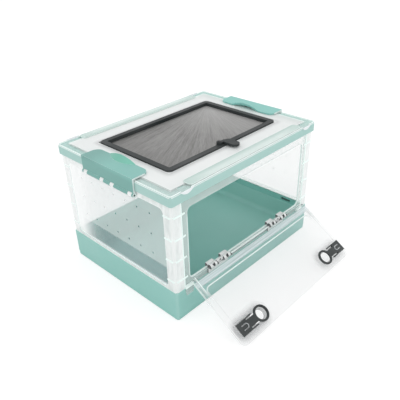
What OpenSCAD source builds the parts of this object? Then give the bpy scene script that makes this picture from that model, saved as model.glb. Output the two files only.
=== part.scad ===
// Clear-walled pet keeper: green tray, four clip-in walls, green rim, mesh-window lid,
// two side clips and a drop-down front door with two sliding ring latches.
// Origin: centre of the tray's underside. +Z up, -Y towards the door, all sizes in mm.

/* [Overall] */
// Length of the keeper over the green rim
rim_l = 341; // [300:1:400]
// Width of the keeper over the green rim, front to back
rim_w = 261; // [220:1:300]
// Height of the top face of the green rim
rim_top = 214; // [200:1:260]

/* [Base tray] */
// Height of the green tray
tray_h = 52; // [48:1:62]
// How far the tray stands inside the rim's outline on each side
tray_inset = 1.6; // [1:0.1:4]
// Wall thickness of the tray
tray_wall = 2.6; // [2:0.1:4]
// Floor thickness of the tray
tray_floor = 3; // [2:0.5:5]
// Radius of the tray's upright corners
tray_r = 4.5; // [3:0.5:12]
// Height of the stepped foot under the tray
foot_h = 8; // [5:1:12]
// How far the foot steps in under the tray wall
foot_step = 0.6; // [0.4:0.1:3]
// Step round the underside of the foot
foot_chamfer = 1.4; // [0.5:0.1:3]
// Width of the shelf inside the tray that carries the walls
shelf_w = 2.4; // [2.2:0.1:8]
// Thickness of that shelf
shelf_t = 3; // [2:0.5:4]
// Depth of the shelf below the tray's top edge
shelf_drop = 11; // [8:1:16]
// Length of a snap window in the tongue of a side wall
snap_l = 21; // [14:1:28]
// Height of a snap window
snap_h = 5.2; // [3:0.1:6]
// Distance from the wall's end to the middle of a snap window
snap_in = 42; // [34:1:60]
// Depth of the pocket in the tray behind a snap window
snap_pocket = 1.4; // [0.6:0.1:1.6]

/* [Walls] */
// Thickness of a clear wall frame
panel_t = 2.8; // [2.4:0.1:3.4]
// Thickness of the thin pane inside a wall frame
pane_t = 1.4; // [1:0.1:2]
// Thickness of the tongue that drops into the tray
tongue_t = 1.8; // [1.4:0.1:2.2]
// Height of the solid rail at the foot of each wall
rail_h = 5; // [4:0.5:8]
// Distance from the keeper's side to the seam between side wall and front frame
seam_in = 17; // [14:0.5:20]
// Width of the upright frame members of a side wall
stile_w = 17; // [12:0.2:22]
// Height of the frame member above a pane
header_h = 10; // [8:0.5:16]
// Width of the strip behind each seam
seam_lap = 8; // [6:0.5:9]
// Thickness of the strip behind each seam
seam_strip_t = 1.6; // [1.2:0.1:2]
// Height of one ridge round a corner
ridge_h = 2.4; // [1.5:0.1:4]
// How far a ridge stands out
ridge_out = 0.9; // [0.5:0.1:1.4]
// Number of ridges up each corner
ridge_count = 4; // [2:1:5]
// Height of the lowest ridge
ridge_low = 71; // [68:1:80]
// Rise from ridge to ridge
ridge_pitch = 36; // [24:1:40]

/* [Vents] */
// Diameter of one vent hole
vent_d = 3.2; // [2:0.2:5]
// Vent holes along a wall
vent_cols = 7; // [3:2:7]
// Rows of vent holes
vent_rows = 3; // [1:1:3]
// Spacing of the holes along a wall
vent_pitch = 27; // [15:1:30]
// Spacing of the rows
vent_rise = 33.7; // [20:0.1:36]
// Height of the lowest row
vent_low = 103.3; // [90:0.1:110]

/* [Front opening] */
// Width of the door opening
open_w = 278; // [220:1:290]
// Height of the sill's top edge
sill_z = 64.5; // [62:0.5:70]
// Height of the top edge of the opening
open_top = 185.5; // [170:0.5:190]
// Corner radius of the opening
open_r = 8; // [4:1:14]
// Width of the tabs that reach down over the tray
skirt_w = 16; // [8:1:20]
// How far those tabs narrow at their tip, on each side
skirt_taper = 1.5; // [1:0.5:4]
// Length of those tabs below the tray's top edge
skirt_drop = 12; // [8:1:24]
// Thickness of those tabs
skirt_t = 1.6; // [1.2:0.1:2.4]
// Radius of the small boss on each of those tabs
skirt_boss_r = 1.8; // [1:0.1:3]

/* [Rim] */
// Height of the rim's outer band
rim_h = 14.6; // [10:0.2:20]
// Thickness of the rim's outer band
rim_t = 2.4; // [2:0.1:3]
// Width of the rim's flat top
rim_flange = 18; // [14:0.5:22]
// Thickness of the rim's flat top
rim_flange_t = 2.4; // [2:0.1:3]
// Thickness of the rim's inner lip
rim_lip_t = 1.6; // [1.2:0.1:2.4]
// Height of the rim's inner lip
rim_lip_h = 7; // [4:0.5:9]

/* [Lid] */
// Thickness of the lid plate
lid_t = 2; // [1.6:0.1:3]
// How far the lid stands inside the rim's outline
lid_inset = 1.5; // [0.3:0.1:2]
// Depth of the rib under the lid that centres it in the rim
lid_rib_h = 5; // [3:0.5:8]
// Thickness of that rib
lid_rib_t = 1.8; // [1.4:0.1:2.4]
// Length of the long-edge strips
strip_l = 262; // [240:1:280]
// Width of the long-edge strips
strip_w = 17; // [10:0.5:20]
// Thickness of the long-edge strips
strip_t = 1.4; // [1:0.1:2]
// Corner radius of the long-edge strips
strip_r = 5; // [1:0.5:7]
// Width of the bowed snap tabs
tab_w = 25; // [16:0.5:28]
// How far the snap tabs hang down over the rim
tab_drop = 6; // [4:0.5:9]
// Distance from the rim's short side to the middle of a snap tab
tab_in = 29.5; // [24:0.5:36]
// Thickness of the snap tabs
tab_t = 1.6; // [1.2:0.1:2]
// Length of the slot behind each snap tab
tab_slot_l = 12; // [8:0.5:16]
// Width of the slot behind each snap tab
tab_slot_w = 3.5; // [2:0.5:5]
// Distance of that slot's middle from the rim's outline
tab_slot_in = 11; // [8:0.5:14]

/* [Mesh window] */
// Outside length of the black window frame
win_l = 249; // [200:1:252]
// Outside width of the black window frame
win_w = 161; // [120:1:170]
// Width of the frame's bars
win_bar = 9; // [7.5:0.5:12]
// How far the frame stands above the lid
win_proud = 2.4; // [1.5:0.1:4]
// Height of the frame
win_h = 8; // [7.5:0.1:9]
// Corner radius of the frame
win_r = 7.5; // [3:0.5:9]
// Width of the ledge that the mesh lies on
mesh_ledge = 2; // [1.5:0.5:3]
// Thickness of the mesh
mesh_t = 0.7; // [0.5:0.1:1]
// Wall thickness of the well round the window
well_t = 1.6; // [1.2:0.1:2.4]
// Distance from the window's back edge to its pivot
win_pivot_in = 5.5; // [5:0.5:6.5]
// Diameter of the window's pivot pins
win_pin_d = 2.4; // [2:0.1:3]
// Length of a pivot pin outside the well
pin_lug = 6; // [4:0.5:8]
// Length of a pivot pin inside the frame's bar
pin_in = 7; // [4:0.5:8]

/* [Window catch] */
// Length of the catch's oval paddle
paddle_l = 28; // [22:1:36]
// Width of the catch's oval paddle
paddle_w = 15; // [10:0.5:18]
// Thickness of the catch
catch_t = 3.6; // [2.5:0.1:5]
// Sideways offset of the paddle from the catch's pivot
paddle_side = 12; // [9:0.5:16]
// Radius of the catch's boss
catch_boss_r = 4.6; // [4:0.1:6]
// Diameter of the catch's pivot pin
catch_pin_d = 3; // [2.4:0.1:4]

/* [Side clips] */
// Length of a side clip
clip_l = 119; // [113:1:130]
// Thickness of a side clip
clip_t = 2.6; // [2:0.1:3]
// How far a clip reaches in over the lid
clip_reach = 32; // [22:0.5:34]
// Height of the clip's pivot below the rim's lower edge
clip_pivot_drop = 6.2; // [5.6:0.1:9]
// Outside radius of the clip's knuckles
clip_knuckle_r = 3.4; // [3:0.1:4]
// Diameter of the clip's rod
clip_pin_d = 3; // [2.4:0.1:3.4]
// Radius of a clip's inner corners
clip_corner_r = 12; // [6:1:16]
// Width of one clear knuckle on the wall
wall_knuckle_w = 8; // [6:0.5:10]
// Distance from the middle to the inner pair of clear knuckles
knuckle_near = 12; // [10:1:18]
// Distance from the middle to the outer pair of clear knuckles
knuckle_far = 52; // [44:1:52]
// Length of the raised finger lip
lip_l = 64; // [50:1:90]
// Height of the raised finger lip
lip_h = 6.5; // [6:0.5:9]
// Distance over which the finger lip climbs to the clip's inner edge
lip_run = 11; // [8:0.5:20]

/* [Door] */
// How far the door laps over the opening on each side
door_lap = 5; // [3:0.5:8]
// How far the door laps over the top of the opening
door_top_lap = 1.5; // [1:0.5:5]
// Thickness of the door plate
door_t = 2.6; // [2:0.1:3]
// Width of the door's raised border
door_border = 10; // [8:0.5:12]
// Width of the flat strip along the hinge edge
door_hinge_strip = 18; // [14:0.5:22]
// Depth of the recessed middle of the door
door_recess = 0.9; // [0.5:0.1:1.2]
// Height of the lip round the door's edge
door_lip_h = 1.4; // [1:0.1:2]
// Thickness of the lip round the door's edge
door_lip_t = 2; // [1.4:0.1:3]
// Corner radius of the door
door_r = 9; // [6:1:12]
// Height of the closed door's lower edge above its pivot
door_foot = 0.5; // [0.5:0.5:2]
// Height of the door's pivot above the sill's top edge
pivot_up = 1; // [0.5:0.5:2]

/* [Door hinges] */
// Overall width of one door hinge
hinge_w = 45; // [40:1:60]
// Width of the door's knuckle in the middle of a hinge
middle_w = 14; // [12:0.5:18]
// Space beside the middle knuckle, where the pin shows
knuckle_space = 1; // [0.5:0.5:4]
// Width of the notch in front of each lug, where the pin shows
notch_w = 5; // [3:0.5:7]
// Distance from the opening's left side to the middle of the left hinge
hinge_left_in = 59.5; // [45:0.5:80]
// Distance from the opening's right side to the middle of the right hinge
hinge_right_in = 68.5; // [45:0.5:80]
// Outside radius of the door hinge knuckles
hinge_r = 3.8; // [3.4:0.1:4.2]
// Diameter of the door hinge pin
hinge_pin_d = 3; // [2.4:0.1:3.4]
// Diameter of the hole in the middle knuckle
knuckle_hole_d = 2.6; // [2:0.1:3]
// Thickness of a lug where it grips over the sill
lug_grip = 2; // [1.4:0.1:2.6]
// Height of a lug above the sill, inside the opening
lug_up = 4.5; // [1.5:0.5:5]
// How far the hinge pin stands out of the outer lugs
pin_proud = 1; // [0.5:0.5:1.5]

/* [Door latches] */
// Length of the latch's square body
latch_body_l = 26; // [20:0.5:28]
// Width of the latch's square body
latch_w = 20.4; // [16:0.2:22]
// Thickness of a latch
latch_t = 3; // [2.4:0.1:3.6]
// Outside diameter of the finger ring
ring_d = 26; // [24:0.2:32]
// Width of the finger ring's rim
ring_t = 3.2; // [2:0.1:4]
// Distance from the latch's end to the middle of its ring
ring_out = 48.5; // [46:0.5:54]
// Width of the neck between body and ring
neck_w = 12.4; // [10:0.2:14]
// Width of each spring arm beside the neck
arm_w = 2; // [1.6:0.1:2.4]
// Travel of a latch
latch_travel = 11; // [8:0.5:11]
// Distance from the door's pivot to the latch's middle line
latch_up = 100; // [95:0.5:102]
// Width of the guide's side rails
guide_rail = 2; // [1.6:0.1:3]
// Length of the spring arms beside the neck
arm_l = 13; // [8:1:16]
// Length of the latch's U-shaped detent cut
tongue_l_cut = 12; // [8:1:14]
// Width of that cut over both its legs
tongue_w_cut = 8; // [6:0.5:10]
// Width of one leg of that cut
tongue_leg = 1.2; // [0.8:0.1:1.6]
// Distance from the latch's end to that cut
tongue_in = 6; // [4:0.5:8]

/* [Fit] */
// Gap between pieces that move past each other
run_gap = 0.4; // [0.3:0.05:0.5]
// Gap between pieces that are clipped together
seat_gap = 0.2; // [0.1:0.05:0.3]
// Radial clearance between a pin and its bore
pin_gap = 0.06; // [0.03:0.01:0.09]

/* [Hidden] */
$fn = 64;
eps = 0.01;

// Colours
green = [0.47, 0.74, 0.69];
green_pale = [0.72, 0.89, 0.85, 0.7];
clear = [0.86, 0.91, 0.91, 0.45];
milky = [0.93, 0.95, 0.95, 0.85];
black = [0.07, 0.07, 0.08];
steel = [0.62, 0.62, 0.62];
dark_steel = [0.16, 0.16, 0.17];

// Outlines, from the outside in
tray_l = rim_l - 2 * tray_inset;
tray_w = rim_w - 2 * tray_inset;
wall_l = rim_l - 2 * rim_t - 2 * seat_gap;
wall_w = rim_w - 2 * rim_t - 2 * seat_gap;
wall_r = tray_r - 1;
front_y = -wall_w / 2;
seam_x = rim_l / 2 - rim_t - seam_in;
tongue_l = tray_l - 2 * tray_wall - 2 * seat_gap;
tongue_w = tray_w - 2 * tray_wall - 2 * seat_gap;
tongue_r = max(tray_r - tray_wall, 0.5);

// Levels
shelf_top = tray_h - shelf_drop;
rail_z = tray_h + seat_gap;
rail_top = rail_z + rail_h;
rim_low = rim_top - rim_h;
wall_top = rim_top - rim_flange_t - seat_gap;
pane_top = rim_low - header_h;
lid_z = rim_top + seat_gap;
lid_top = lid_z + lid_t;

// Door, drawn closed and then swung down until its edge nearly meets the floor
pivot_y = front_y - hinge_r - run_gap;
pivot_z = sill_z + pivot_up;
door_in_y = front_y - run_gap;
door_w = open_w + 2 * door_lap;
door_face = door_in_y - pivot_y;
lug_clear = hinge_r + 2 * run_gap;
lug_space = hinge_w / 2 + pin_proud + run_gap;
door_high = open_top + door_top_lap - pivot_z;
floor_gap = 0.3;
door_edge_y = door_in_y - door_t - door_lip_h - pivot_y;
door_far = norm([door_high, door_edge_y]);
door_swing = 90 + asin((pivot_z - floor_gap) / door_far)
    + atan2(door_edge_y, door_high);

// Hinge places along the door
hinge_left_x = -open_w / 2 + hinge_left_in;
hinge_right_x = open_w / 2 - hinge_right_in;

// Latch places on the closed door, measured from the pivot
latch_rise = panel_t + 2 * run_gap;
latch_end_x = open_w / 2 - 1.5;
latch_lip = 1;
ring_r = ring_d / 2;

// Window places
win_top = lid_top + win_proud;
win_low = win_top - win_h;
mesh_z = win_low + 1.5;
win_open_l = win_l - 2 * win_bar;
win_open_w = win_w - 2 * win_bar;
win_pivot_y = win_w / 2 - win_pivot_in;
win_pivot_z = win_low + win_pin_d / 2 + 0.9;
win_back_r = norm([win_pivot_in, win_top - win_pivot_z]);
well_l = win_l + 2 * run_gap;
well_front = -win_w / 2 - run_gap;
well_back = win_pivot_y + win_back_r + run_gap;
catch_z = win_top + run_gap;
catch_x = -10;
catch_y = -win_open_w / 2 - 0.5;

// Clip places
clip_x = rim_l / 2 + run_gap + clip_t / 2;
clip_z = rim_low - clip_pivot_drop;
clip_under = lid_top + run_gap;
clip_top = clip_under + clip_t;
clip_out = rim_l / 2 + run_gap + clip_t;
clip_in = clip_out - clip_reach;
lip_barrel_r = (lip_l * lip_l / 4 + lip_h * lip_h) / (2 * lip_h);
lip_root_x = clip_in + lip_run;
lip_slope = atan2(lip_h, lip_run);

// A rectangle with true round corners, centred
module round_rect(l, w, r) {
    square([l - 2 * r, w], center = true);
    square([l, w - 2 * r], center = true);
    for (x = [-1, 1], y = [-1, 1])
        translate([x * (l / 2 - r), y * (w / 2 - r)]) circle(r);
}

// A round-cornered slab from z0 to z1
module slab(l, w, r, z0, z1) {
    translate([0, 0, z0]) linear_extrude(z1 - z0) round_rect(l, w, r);
}

// A round-cornered ring of wall thickness t, lying inside the outline l by w
module ring_slab(l, w, r, t, z0, z1) {
    translate([0, 0, z0]) linear_extrude(z1 - z0) difference() {
        round_rect(l, w, r);
        round_rect(l - 2 * t, w - 2 * t, max(r - t, 0.5));
    }
}

// A box given by its low and high corners
module block(low, high) {
    translate(low) cube(high - low);
}

// A rod along X from x0 to x1
module rod_x(r, x0, x1) {
    translate([x0, 0, 0]) rotate([0, 90, 0]) cylinder(r = r, h = x1 - x0);
}

// A rod along Y from y0 to y1
module rod_y(r, y0, y1) {
    translate([0, y0, 0]) rotate([-90, 0, 0]) cylinder(r = r, h = y1 - y0);
}

// ---- Tray ----

module base_tray() {
    foot_l = tray_l - 2 * foot_step;
    foot_w = tray_w - 2 * foot_step;
    foot_r = tray_r - foot_step;
    color(green) difference() {
        union() {
            slab(tray_l, tray_w, tray_r, foot_h, tray_h);
            slab(foot_l, foot_w, foot_r, foot_chamfer, foot_h + eps);
            slab(foot_l - 2 * foot_chamfer, foot_w - 2 * foot_chamfer, foot_r - foot_chamfer,
                0, foot_chamfer + eps);
        }
        slab(tray_l - 2 * tray_wall, tray_w - 2 * tray_wall, tongue_r, shelf_top, tray_h + 1);
        slab(tray_l - 2 * tray_wall, tray_w - 2 * tray_wall, tongue_r,
            foot_h + tray_floor, shelf_top - shelf_t);
        slab(tray_l - 2 * (tray_wall + shelf_w), tray_w - 2 * (tray_wall + shelf_w),
            tongue_r, shelf_top - shelf_t - 1, shelf_top + 1);
        slab(foot_l - 2 * (foot_chamfer + tray_wall), foot_w - 2 * (foot_chamfer + tray_wall),
            foot_r - foot_chamfer, tray_floor, foot_h + tray_floor + 1);
        for (m = [0, 1]) mirror([m, 0, 0])
            snap_windows(tray_l / 2 - tray_wall - eps, tray_l / 2 - tray_wall + snap_pocket);
    }
}

// The two snap windows of the right-hand side wall, cut from x0 to x1
module snap_windows(x0, x1) {
    y_mid = wall_w / 2 - snap_in;
    low = shelf_top + (shelf_drop - snap_h) / 2;
    for (s = [-1, 1])
        block([x0, s * y_mid - snap_l / 2, low], [x1, s * y_mid + snap_l / 2, low + snap_h]);
}

// ---- Walls ----

// The wall outline all round, split into ring bands: rail, tongue and body
module wall_ring() {
    ring_slab(wall_l, wall_w, wall_r, panel_t, rail_z, wall_top);
    ring_slab(tongue_l, tongue_w, tongue_r, tongue_t, shelf_top, rail_z + eps);
    difference() {
        slab(wall_l, wall_w, wall_r, rail_z, rail_top);
        slab(tongue_l - 2 * tongue_t, tongue_w - 2 * tongue_t, max(tongue_r - tongue_t, 0.5),
            rail_z - 1, rail_top + 1);
    }
}

// The raised ridges round the corners, which stop short of the door and of the panes
module corner_ridges() {
    ridge_x = door_w / 2 + run_gap;
    ridge_y = wall_w / 2 - stile_w;
    for (i = [0 : ridge_count - 1]) {
        z = ridge_low + i * ridge_pitch;
        intersection() {
            ring_slab(wall_l + 2 * ridge_out, wall_w + 2 * ridge_out, wall_r + ridge_out,
                ridge_out + eps, z, z + ridge_h);
            for (sx = [0, 1], sy = [0, 1])
                mirror([sx, 0, 0]) mirror([0, sy, 0])
                    block([ridge_x, ridge_y, z - 1], [rim_l, rim_w, z + ridge_h + 1]);
        }
    }
}

// One grid of vent holes through a wall whose outer face is at distance d from the middle
module vent_grid(d) {
    for (i = [0 : vent_cols - 1], j = [0 : vent_rows - 1])
        translate([d + 1, (i - (vent_cols - 1) / 2) * vent_pitch, vent_low + j * vent_rise])
            rotate([0, -90, 0]) cylinder(d = vent_d, h = panel_t + 2, $fn = 24);
}

// Everything of the wall ring with x beyond the seam, drawn for the right-hand side
module side_wall() {
    pane_w = wall_w - 2 * stile_w;
    outer = wall_l / 2;
    difference() {
        union() {
            intersection() {
                union() {
                    wall_ring();
                    corner_ridges();
                }
                block([seam_x, -rim_w, 0], [rim_l, rim_w, rim_top]);
            }
            clip_lugs();
        }
        translate([outer - (panel_t - pane_t), 0, (rail_top + pane_top) / 2])
            rotate([0, 90, 0])
                linear_extrude(panel_t)
                    round_rect(pane_top - rail_top, pane_w, open_r);
        vent_grid(outer);
        snap_windows(tray_l / 2 - tray_wall - tongue_t - 1, tray_l / 2 - tray_wall);
        translate([clip_x, 0, clip_z])
            rod_y(clip_pin_d / 2 + pin_gap, -clip_l / 2, clip_l / 2);
    }
}

// The four clear knuckles that carry a clip's rod
module clip_lugs() {
    for (s = [-1, 1], d = [knuckle_near, knuckle_far]) {
        y0 = s * d - wall_knuckle_w / 2;
        y1 = s * d + wall_knuckle_w / 2;
        translate([clip_x, 0, clip_z]) rod_y(clip_knuckle_r, y0, y1);
        block([wall_l / 2 - eps, y0, clip_z - clip_knuckle_r],
            [clip_x, y1, clip_z + clip_knuckle_r]);
    }
}

module right_panel() {
    color(clear) side_wall();
}

module left_panel() {
    color(clear) mirror([1, 0, 0]) side_wall();
}

// The front or back run of the wall ring, between the seams, drawn for the back
module long_wall() {
    intersection() {
        union() {
            wall_ring();
            corner_ridges();
        }
        block([-seam_x + seat_gap, 0, 0], [seam_x - seat_gap, rim_w, rim_top]);
    }
    for (s = [-1, 1]) seam_strip(s);
}

// The strip behind a seam, fixed to the long wall and lapping the side wall
module seam_strip(s) {
    lap_out = seam_x + seam_lap * 5 / 8;
    lap_in = seam_x - seam_lap / 4;
    inner = wall_w / 2 - panel_t;
    low = rail_top + seam_lap / 2;
    high = rim_low - seam_lap / 2;
    x0 = min(s * lap_in, s * lap_out);
    block([x0, inner - seam_strip_t, low], [x0 + lap_out - lap_in, inner, high]);
}

module back_panel() {
    pane_l = 2 * (seam_x - header_h);
    color(clear) difference() {
        long_wall();
        translate([0, wall_w / 2 - (panel_t - pane_t), (rail_top + pane_top) / 2])
            rotate([-90, 0, 0])
                linear_extrude(panel_t)
                    round_rect(pane_l, pane_top - rail_top, open_r);
        for (i = [0 : vent_cols - 1], j = [0 : vent_rows - 1])
            translate([(i - (vent_cols - 1) / 2) * vent_pitch, wall_w / 2 + 1,
                vent_low + j * vent_rise])
                rotate([90, 0, 0]) cylinder(d = vent_d, h = panel_t + 2, $fn = 24);
    }
}

module front_frame() {
    color(clear) difference() {
        union() {
            mirror([0, 1, 0]) long_wall();
            for (s = [-1, 1]) skirt_tab(s);
        }
        translate([0, front_y + panel_t / 2, (sill_z + open_top) / 2])
            rotate([90, 0, 0])
                linear_extrude(3 * panel_t, center = true)
                    round_rect(open_w, open_top - sill_z, open_r);
    }
}

// A tapered tab of the front frame that reaches down over the tray
module skirt_tab(s) {
    x_mid = s * (seam_x - seat_gap - skirt_w / 2);
    y_out = -tray_w / 2 - seat_gap - skirt_t;
    translate([x_mid, y_out + skirt_t, 0])
        rotate([90, 0, 0])
            linear_extrude(skirt_t)
                polygon([
                    [-skirt_w / 2, rail_top],
                    [skirt_w / 2, rail_top],
                    [skirt_w / 2, tray_h - skirt_drop / 2],
                    [skirt_w / 2 - skirt_taper, tray_h - skirt_drop],
                    [-skirt_w / 2 + skirt_taper, tray_h - skirt_drop],
                    [-skirt_w / 2, tray_h - skirt_drop / 2]
                ]);
    block([x_mid - skirt_w / 2, y_out + skirt_t - eps, rail_z],
        [x_mid + skirt_w / 2, front_y + eps, rail_top]);
    translate([x_mid - s * skirt_w / 4, 0, rail_top - skirt_boss_r])
        rod_y(skirt_boss_r, y_out - skirt_t / 2, y_out + eps);
}

// ---- Rim ----

module top_rim() {
    color(green) {
        ring_slab(rim_l, rim_w, tray_r, rim_t, rim_low, rim_top);
        ring_slab(rim_l - 2 * eps, rim_w - 2 * eps, tray_r, rim_flange,
            rim_top - rim_flange_t, rim_top);
        lip_l0 = wall_l - 2 * panel_t - 2 * seam_strip_t - 2 * seat_gap;
        lip_w0 = wall_w - 2 * panel_t - 2 * seam_strip_t - 2 * seat_gap;
        ring_slab(lip_l0, lip_w0, wall_r - panel_t, rim_lip_t,
            rim_top - rim_flange_t - rim_lip_h, rim_top - rim_flange_t + eps);
    }
}

// ---- Lid ----

module lid_plate() {
    lid_l = rim_l - 2 * lid_inset;
    lid_w = rim_w - 2 * lid_inset;
    rib_l = rim_l - 2 * rim_flange - 2 * run_gap;
    rib_w = rim_w - 2 * rim_flange - 2 * run_gap;
    well_low = win_low - run_gap;
    color(milky) difference() {
        union() {
            slab(lid_l, lid_w, tray_r - lid_inset, lid_z, lid_top);
            ring_slab(rib_l, rib_w, tray_r, lid_rib_t, lid_z - lid_rib_h, lid_z + eps);
            well(well_low - well_t, lid_z + eps);
            for (sx = [-1, 1], sy = [-1, 1]) snap_tab(sx, sy);
        }
        well_hole(well_low, lid_top + 1);
        // open bottom of the well, wider at the back where the frame's heel swings
        translate([0, 0, well_low - well_t - 1])
            linear_extrude(well_t + 2)
                square_span(-win_l / 2 + 3, win_l / 2 - 3, well_front + 3.4, well_back);
        translate([0, 0, well_low - well_t - 1])
            linear_extrude(well_t + 2)
                square_span(-well_l / 2, well_l / 2, win_pivot_y - win_back_r, well_back);
        for (sx = [-1, 1], sy = [-1, 1]) tab_slot(sx, sy);
        translate([0, win_pivot_y, win_pivot_z])
            rod_x(win_pin_d / 2 + pin_gap, -well_l / 2 - pin_lug, well_l / 2 + pin_lug);
    }
}

// A rectangle given by its limits
module square_span(x0, x1, y0, y1) {
    translate([x0, y0]) square([x1 - x0, y1 - y0]);
}

// The wall of the well that the window frame drops into
module well(z0, z1) {
    translate([0, 0, z0]) linear_extrude(z1 - z0)
        square_span(-well_l / 2 - well_t, well_l / 2 + well_t,
            well_front - well_t, well_back + well_t);
    for (s = [-1, 1]) {
        x0 = s > 0 ? well_l / 2 : -well_l / 2 - pin_lug - 1;
        block([x0, win_pivot_y - 4, z0], [x0 + pin_lug + 1, win_pivot_y + 4, z1]);
    }
}

// The space of that well, with round front corners like the frame's
module well_hole(z0, z1) {
    translate([0, 0, z0]) linear_extrude(z1 - z0) {
        translate([0, (well_front + well_back) / 2])
            round_rect(well_l, well_back - well_front, win_r + run_gap);
        square_span(-well_l / 2, well_l / 2, 0, well_back);
    }
}

// A bowed snap tab on the edge of the lid, hanging over the rim
module snap_tab(sx, sy) {
    y_in = rim_w / 2 + seat_gap;
    x = sx * (rim_l / 2 - tab_in);
    bow_r = (tab_w * tab_w / 4 + tab_drop * tab_drop) / (2 * tab_drop);
    intersection() {
        translate([x, sy * (y_in + tab_t / 2), lid_top - tab_drop + bow_r])
            rotate([90, 0, 0]) cylinder(r = bow_r, h = tab_t, center = true, $fn = 120);
        block([-rim_l, -rim_w, lid_top - tab_drop - 1], [rim_l, rim_w, lid_top]);
    }
    root = tab_w / 2 - 3;
    block([x - root, sy > 0 ? y_in - 3 : -y_in - tab_t, lid_z],
        [x + root, sy > 0 ? y_in + tab_t : -y_in + 3, lid_top]);
}

// The slot that lets a snap tab flex
module tab_slot(sx, sy) {
    translate([sx * (rim_l / 2 - tab_in), sy * (rim_w / 2 - tab_slot_in), lid_z - 1])
        linear_extrude(lid_t + 2) round_rect(tab_slot_l, tab_slot_w, 1);
}

module edge_strip(s) {
    y_mid = s * (rim_w / 2 - lid_inset - 0.5 - strip_w / 2);
    color(green_pale) translate([0, y_mid, 0])
        slab(strip_l, strip_w, strip_r, lid_top, lid_top + strip_t);
}

module lid_front_strip() {
    edge_strip(-1);
}

module lid_back_strip() {
    edge_strip(1);
}

// ---- Mesh window ----

module window_frame() {
    color(black) difference() {
        union() {
            slab(win_l, win_w, win_r, win_low, win_top);
            translate([0, 0, mesh_z + 1.5]) linear_extrude(win_top - mesh_z - 1.5)
                translate([catch_x, catch_y]) circle(catch_boss_r);
        }
        difference() {
            slab(win_open_l, win_open_w, 1.5, mesh_z, win_top + 1);
            translate([catch_x, catch_y, mesh_z + 1.5])
                cylinder(r = catch_boss_r, h = win_top - mesh_z - 1.5);
        }
        slab(win_open_l - 2 * mesh_ledge, win_open_w - 2 * mesh_ledge, 1.5,
            win_low - 1, mesh_z + eps);
        translate([catch_x, catch_y, mesh_z])
            cylinder(d = catch_pin_d + 2 * pin_gap, h = win_h);
        translate([0, win_pivot_y, win_pivot_z]) {
            rod_x(win_pin_d / 2 + pin_gap, -win_l, -win_l / 2 + pin_in);
            rod_x(win_pin_d / 2 + pin_gap, win_l / 2 - pin_in, win_l);
        }
    }
}

module window_mesh() {
    color(steel)
        slab(win_open_l - 2 * seat_gap, win_open_w - 2 * seat_gap, 1.5,
            mesh_z, mesh_z + mesh_t);
}

module window_pins() {
    color(dark_steel) translate([0, win_pivot_y, win_pivot_z]) {
        rod_x(win_pin_d / 2, -well_l / 2 - pin_lug + seat_gap, -win_l / 2 + pin_in - seat_gap);
        rod_x(win_pin_d / 2, win_l / 2 - pin_in + seat_gap, well_l / 2 + pin_lug - seat_gap);
    }
}

// The turn tab: a boss on its pivot, a short arm and an oval paddle over the lid
module window_catch() {
    px = catch_x + paddle_side;
    py = -win_w / 2 - paddle_l / 2 + win_bar - 1;
    color(black) difference() {
        union() {
            translate([catch_x, catch_y, catch_z]) cylinder(r = catch_boss_r, h = catch_t);
            translate([catch_x, catch_y - catch_boss_r, catch_z])
                cube([paddle_side, catch_boss_r + 1, catch_t]);
            translate([px, py, catch_z]) linear_extrude(catch_t)
                oval(paddle_w, paddle_l);
        }
        translate([catch_x, catch_y, catch_z - 1])
            cylinder(d = catch_pin_d + 2 * pin_gap, h = catch_t + 2);
    }
}

// A round-ended oval, w across and l long
module oval(w, l) {
    square([w, l - w], center = true);
    for (s = [-1, 1]) translate([0, s * (l - w) / 2]) circle(w / 2);
}

module catch_pin() {
    head_h = 1.2;
    color(dark_steel) translate([catch_x, catch_y, 0]) {
        translate([0, 0, mesh_z + mesh_t + seat_gap])
            cylinder(d = catch_pin_d, h = catch_z + catch_t + 0.2 - mesh_z - mesh_t - seat_gap + eps);
        translate([0, 0, catch_z + catch_t + 0.2])
            cylinder(d = catch_pin_d + 2.4, h = head_h);
    }
}

// ---- Side clips, drawn for the right-hand side ----

module side_clip() {
    difference() {
        union() {
            // upright plate and plate over the lid
            block([clip_out - clip_t, -clip_l / 2, clip_z], [clip_out, clip_l / 2, clip_top]);
            clip_roof();
            // arched finger lip
            intersection() {
                lip_barrel(lip_barrel_r);
                block([clip_in, -lip_l / 2, clip_under], [lip_root_x, lip_l / 2, clip_top + 2 * lip_h]);
            }
            // barrel round the rod
            translate([clip_x, 0, clip_z]) rod_y(clip_knuckle_r, -clip_l / 2, clip_l / 2);
        }
        // hollow under the finger lip
        intersection() {
            lip_barrel(lip_barrel_r - clip_t);
            block([clip_in - 1, -lip_l / 2, clip_under - 1],
                [lip_root_x - 1, lip_l / 2, clip_top + 2 * lip_h]);
        }
        // room for the clear knuckles
        for (s = [-1, 1], d = [knuckle_near, knuckle_far])
            block([clip_x - 2 * clip_knuckle_r, s * d - wall_knuckle_w / 2 - run_gap,
                    clip_z - 2 * clip_knuckle_r],
                [clip_x + 2 * clip_knuckle_r, s * d + wall_knuckle_w / 2 + run_gap,
                    clip_z + clip_knuckle_r + 2 * run_gap]);
        translate([clip_x, 0, clip_z])
            rod_y(clip_pin_d / 2 + pin_gap, -clip_l, clip_l);
    }
}

// The flat top of a clip, with round inner corners
module clip_roof() {
    r = clip_corner_r;
    translate([0, 0, clip_under]) linear_extrude(clip_t) {
        square_span(clip_in + r, clip_out, -clip_l / 2, clip_l / 2);
        square_span(clip_in, clip_out, -clip_l / 2 + r, clip_l / 2 - r);
        for (s = [-1, 1]) translate([clip_in + r, s * (clip_l / 2 - r)]) circle(r);
    }
}

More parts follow.
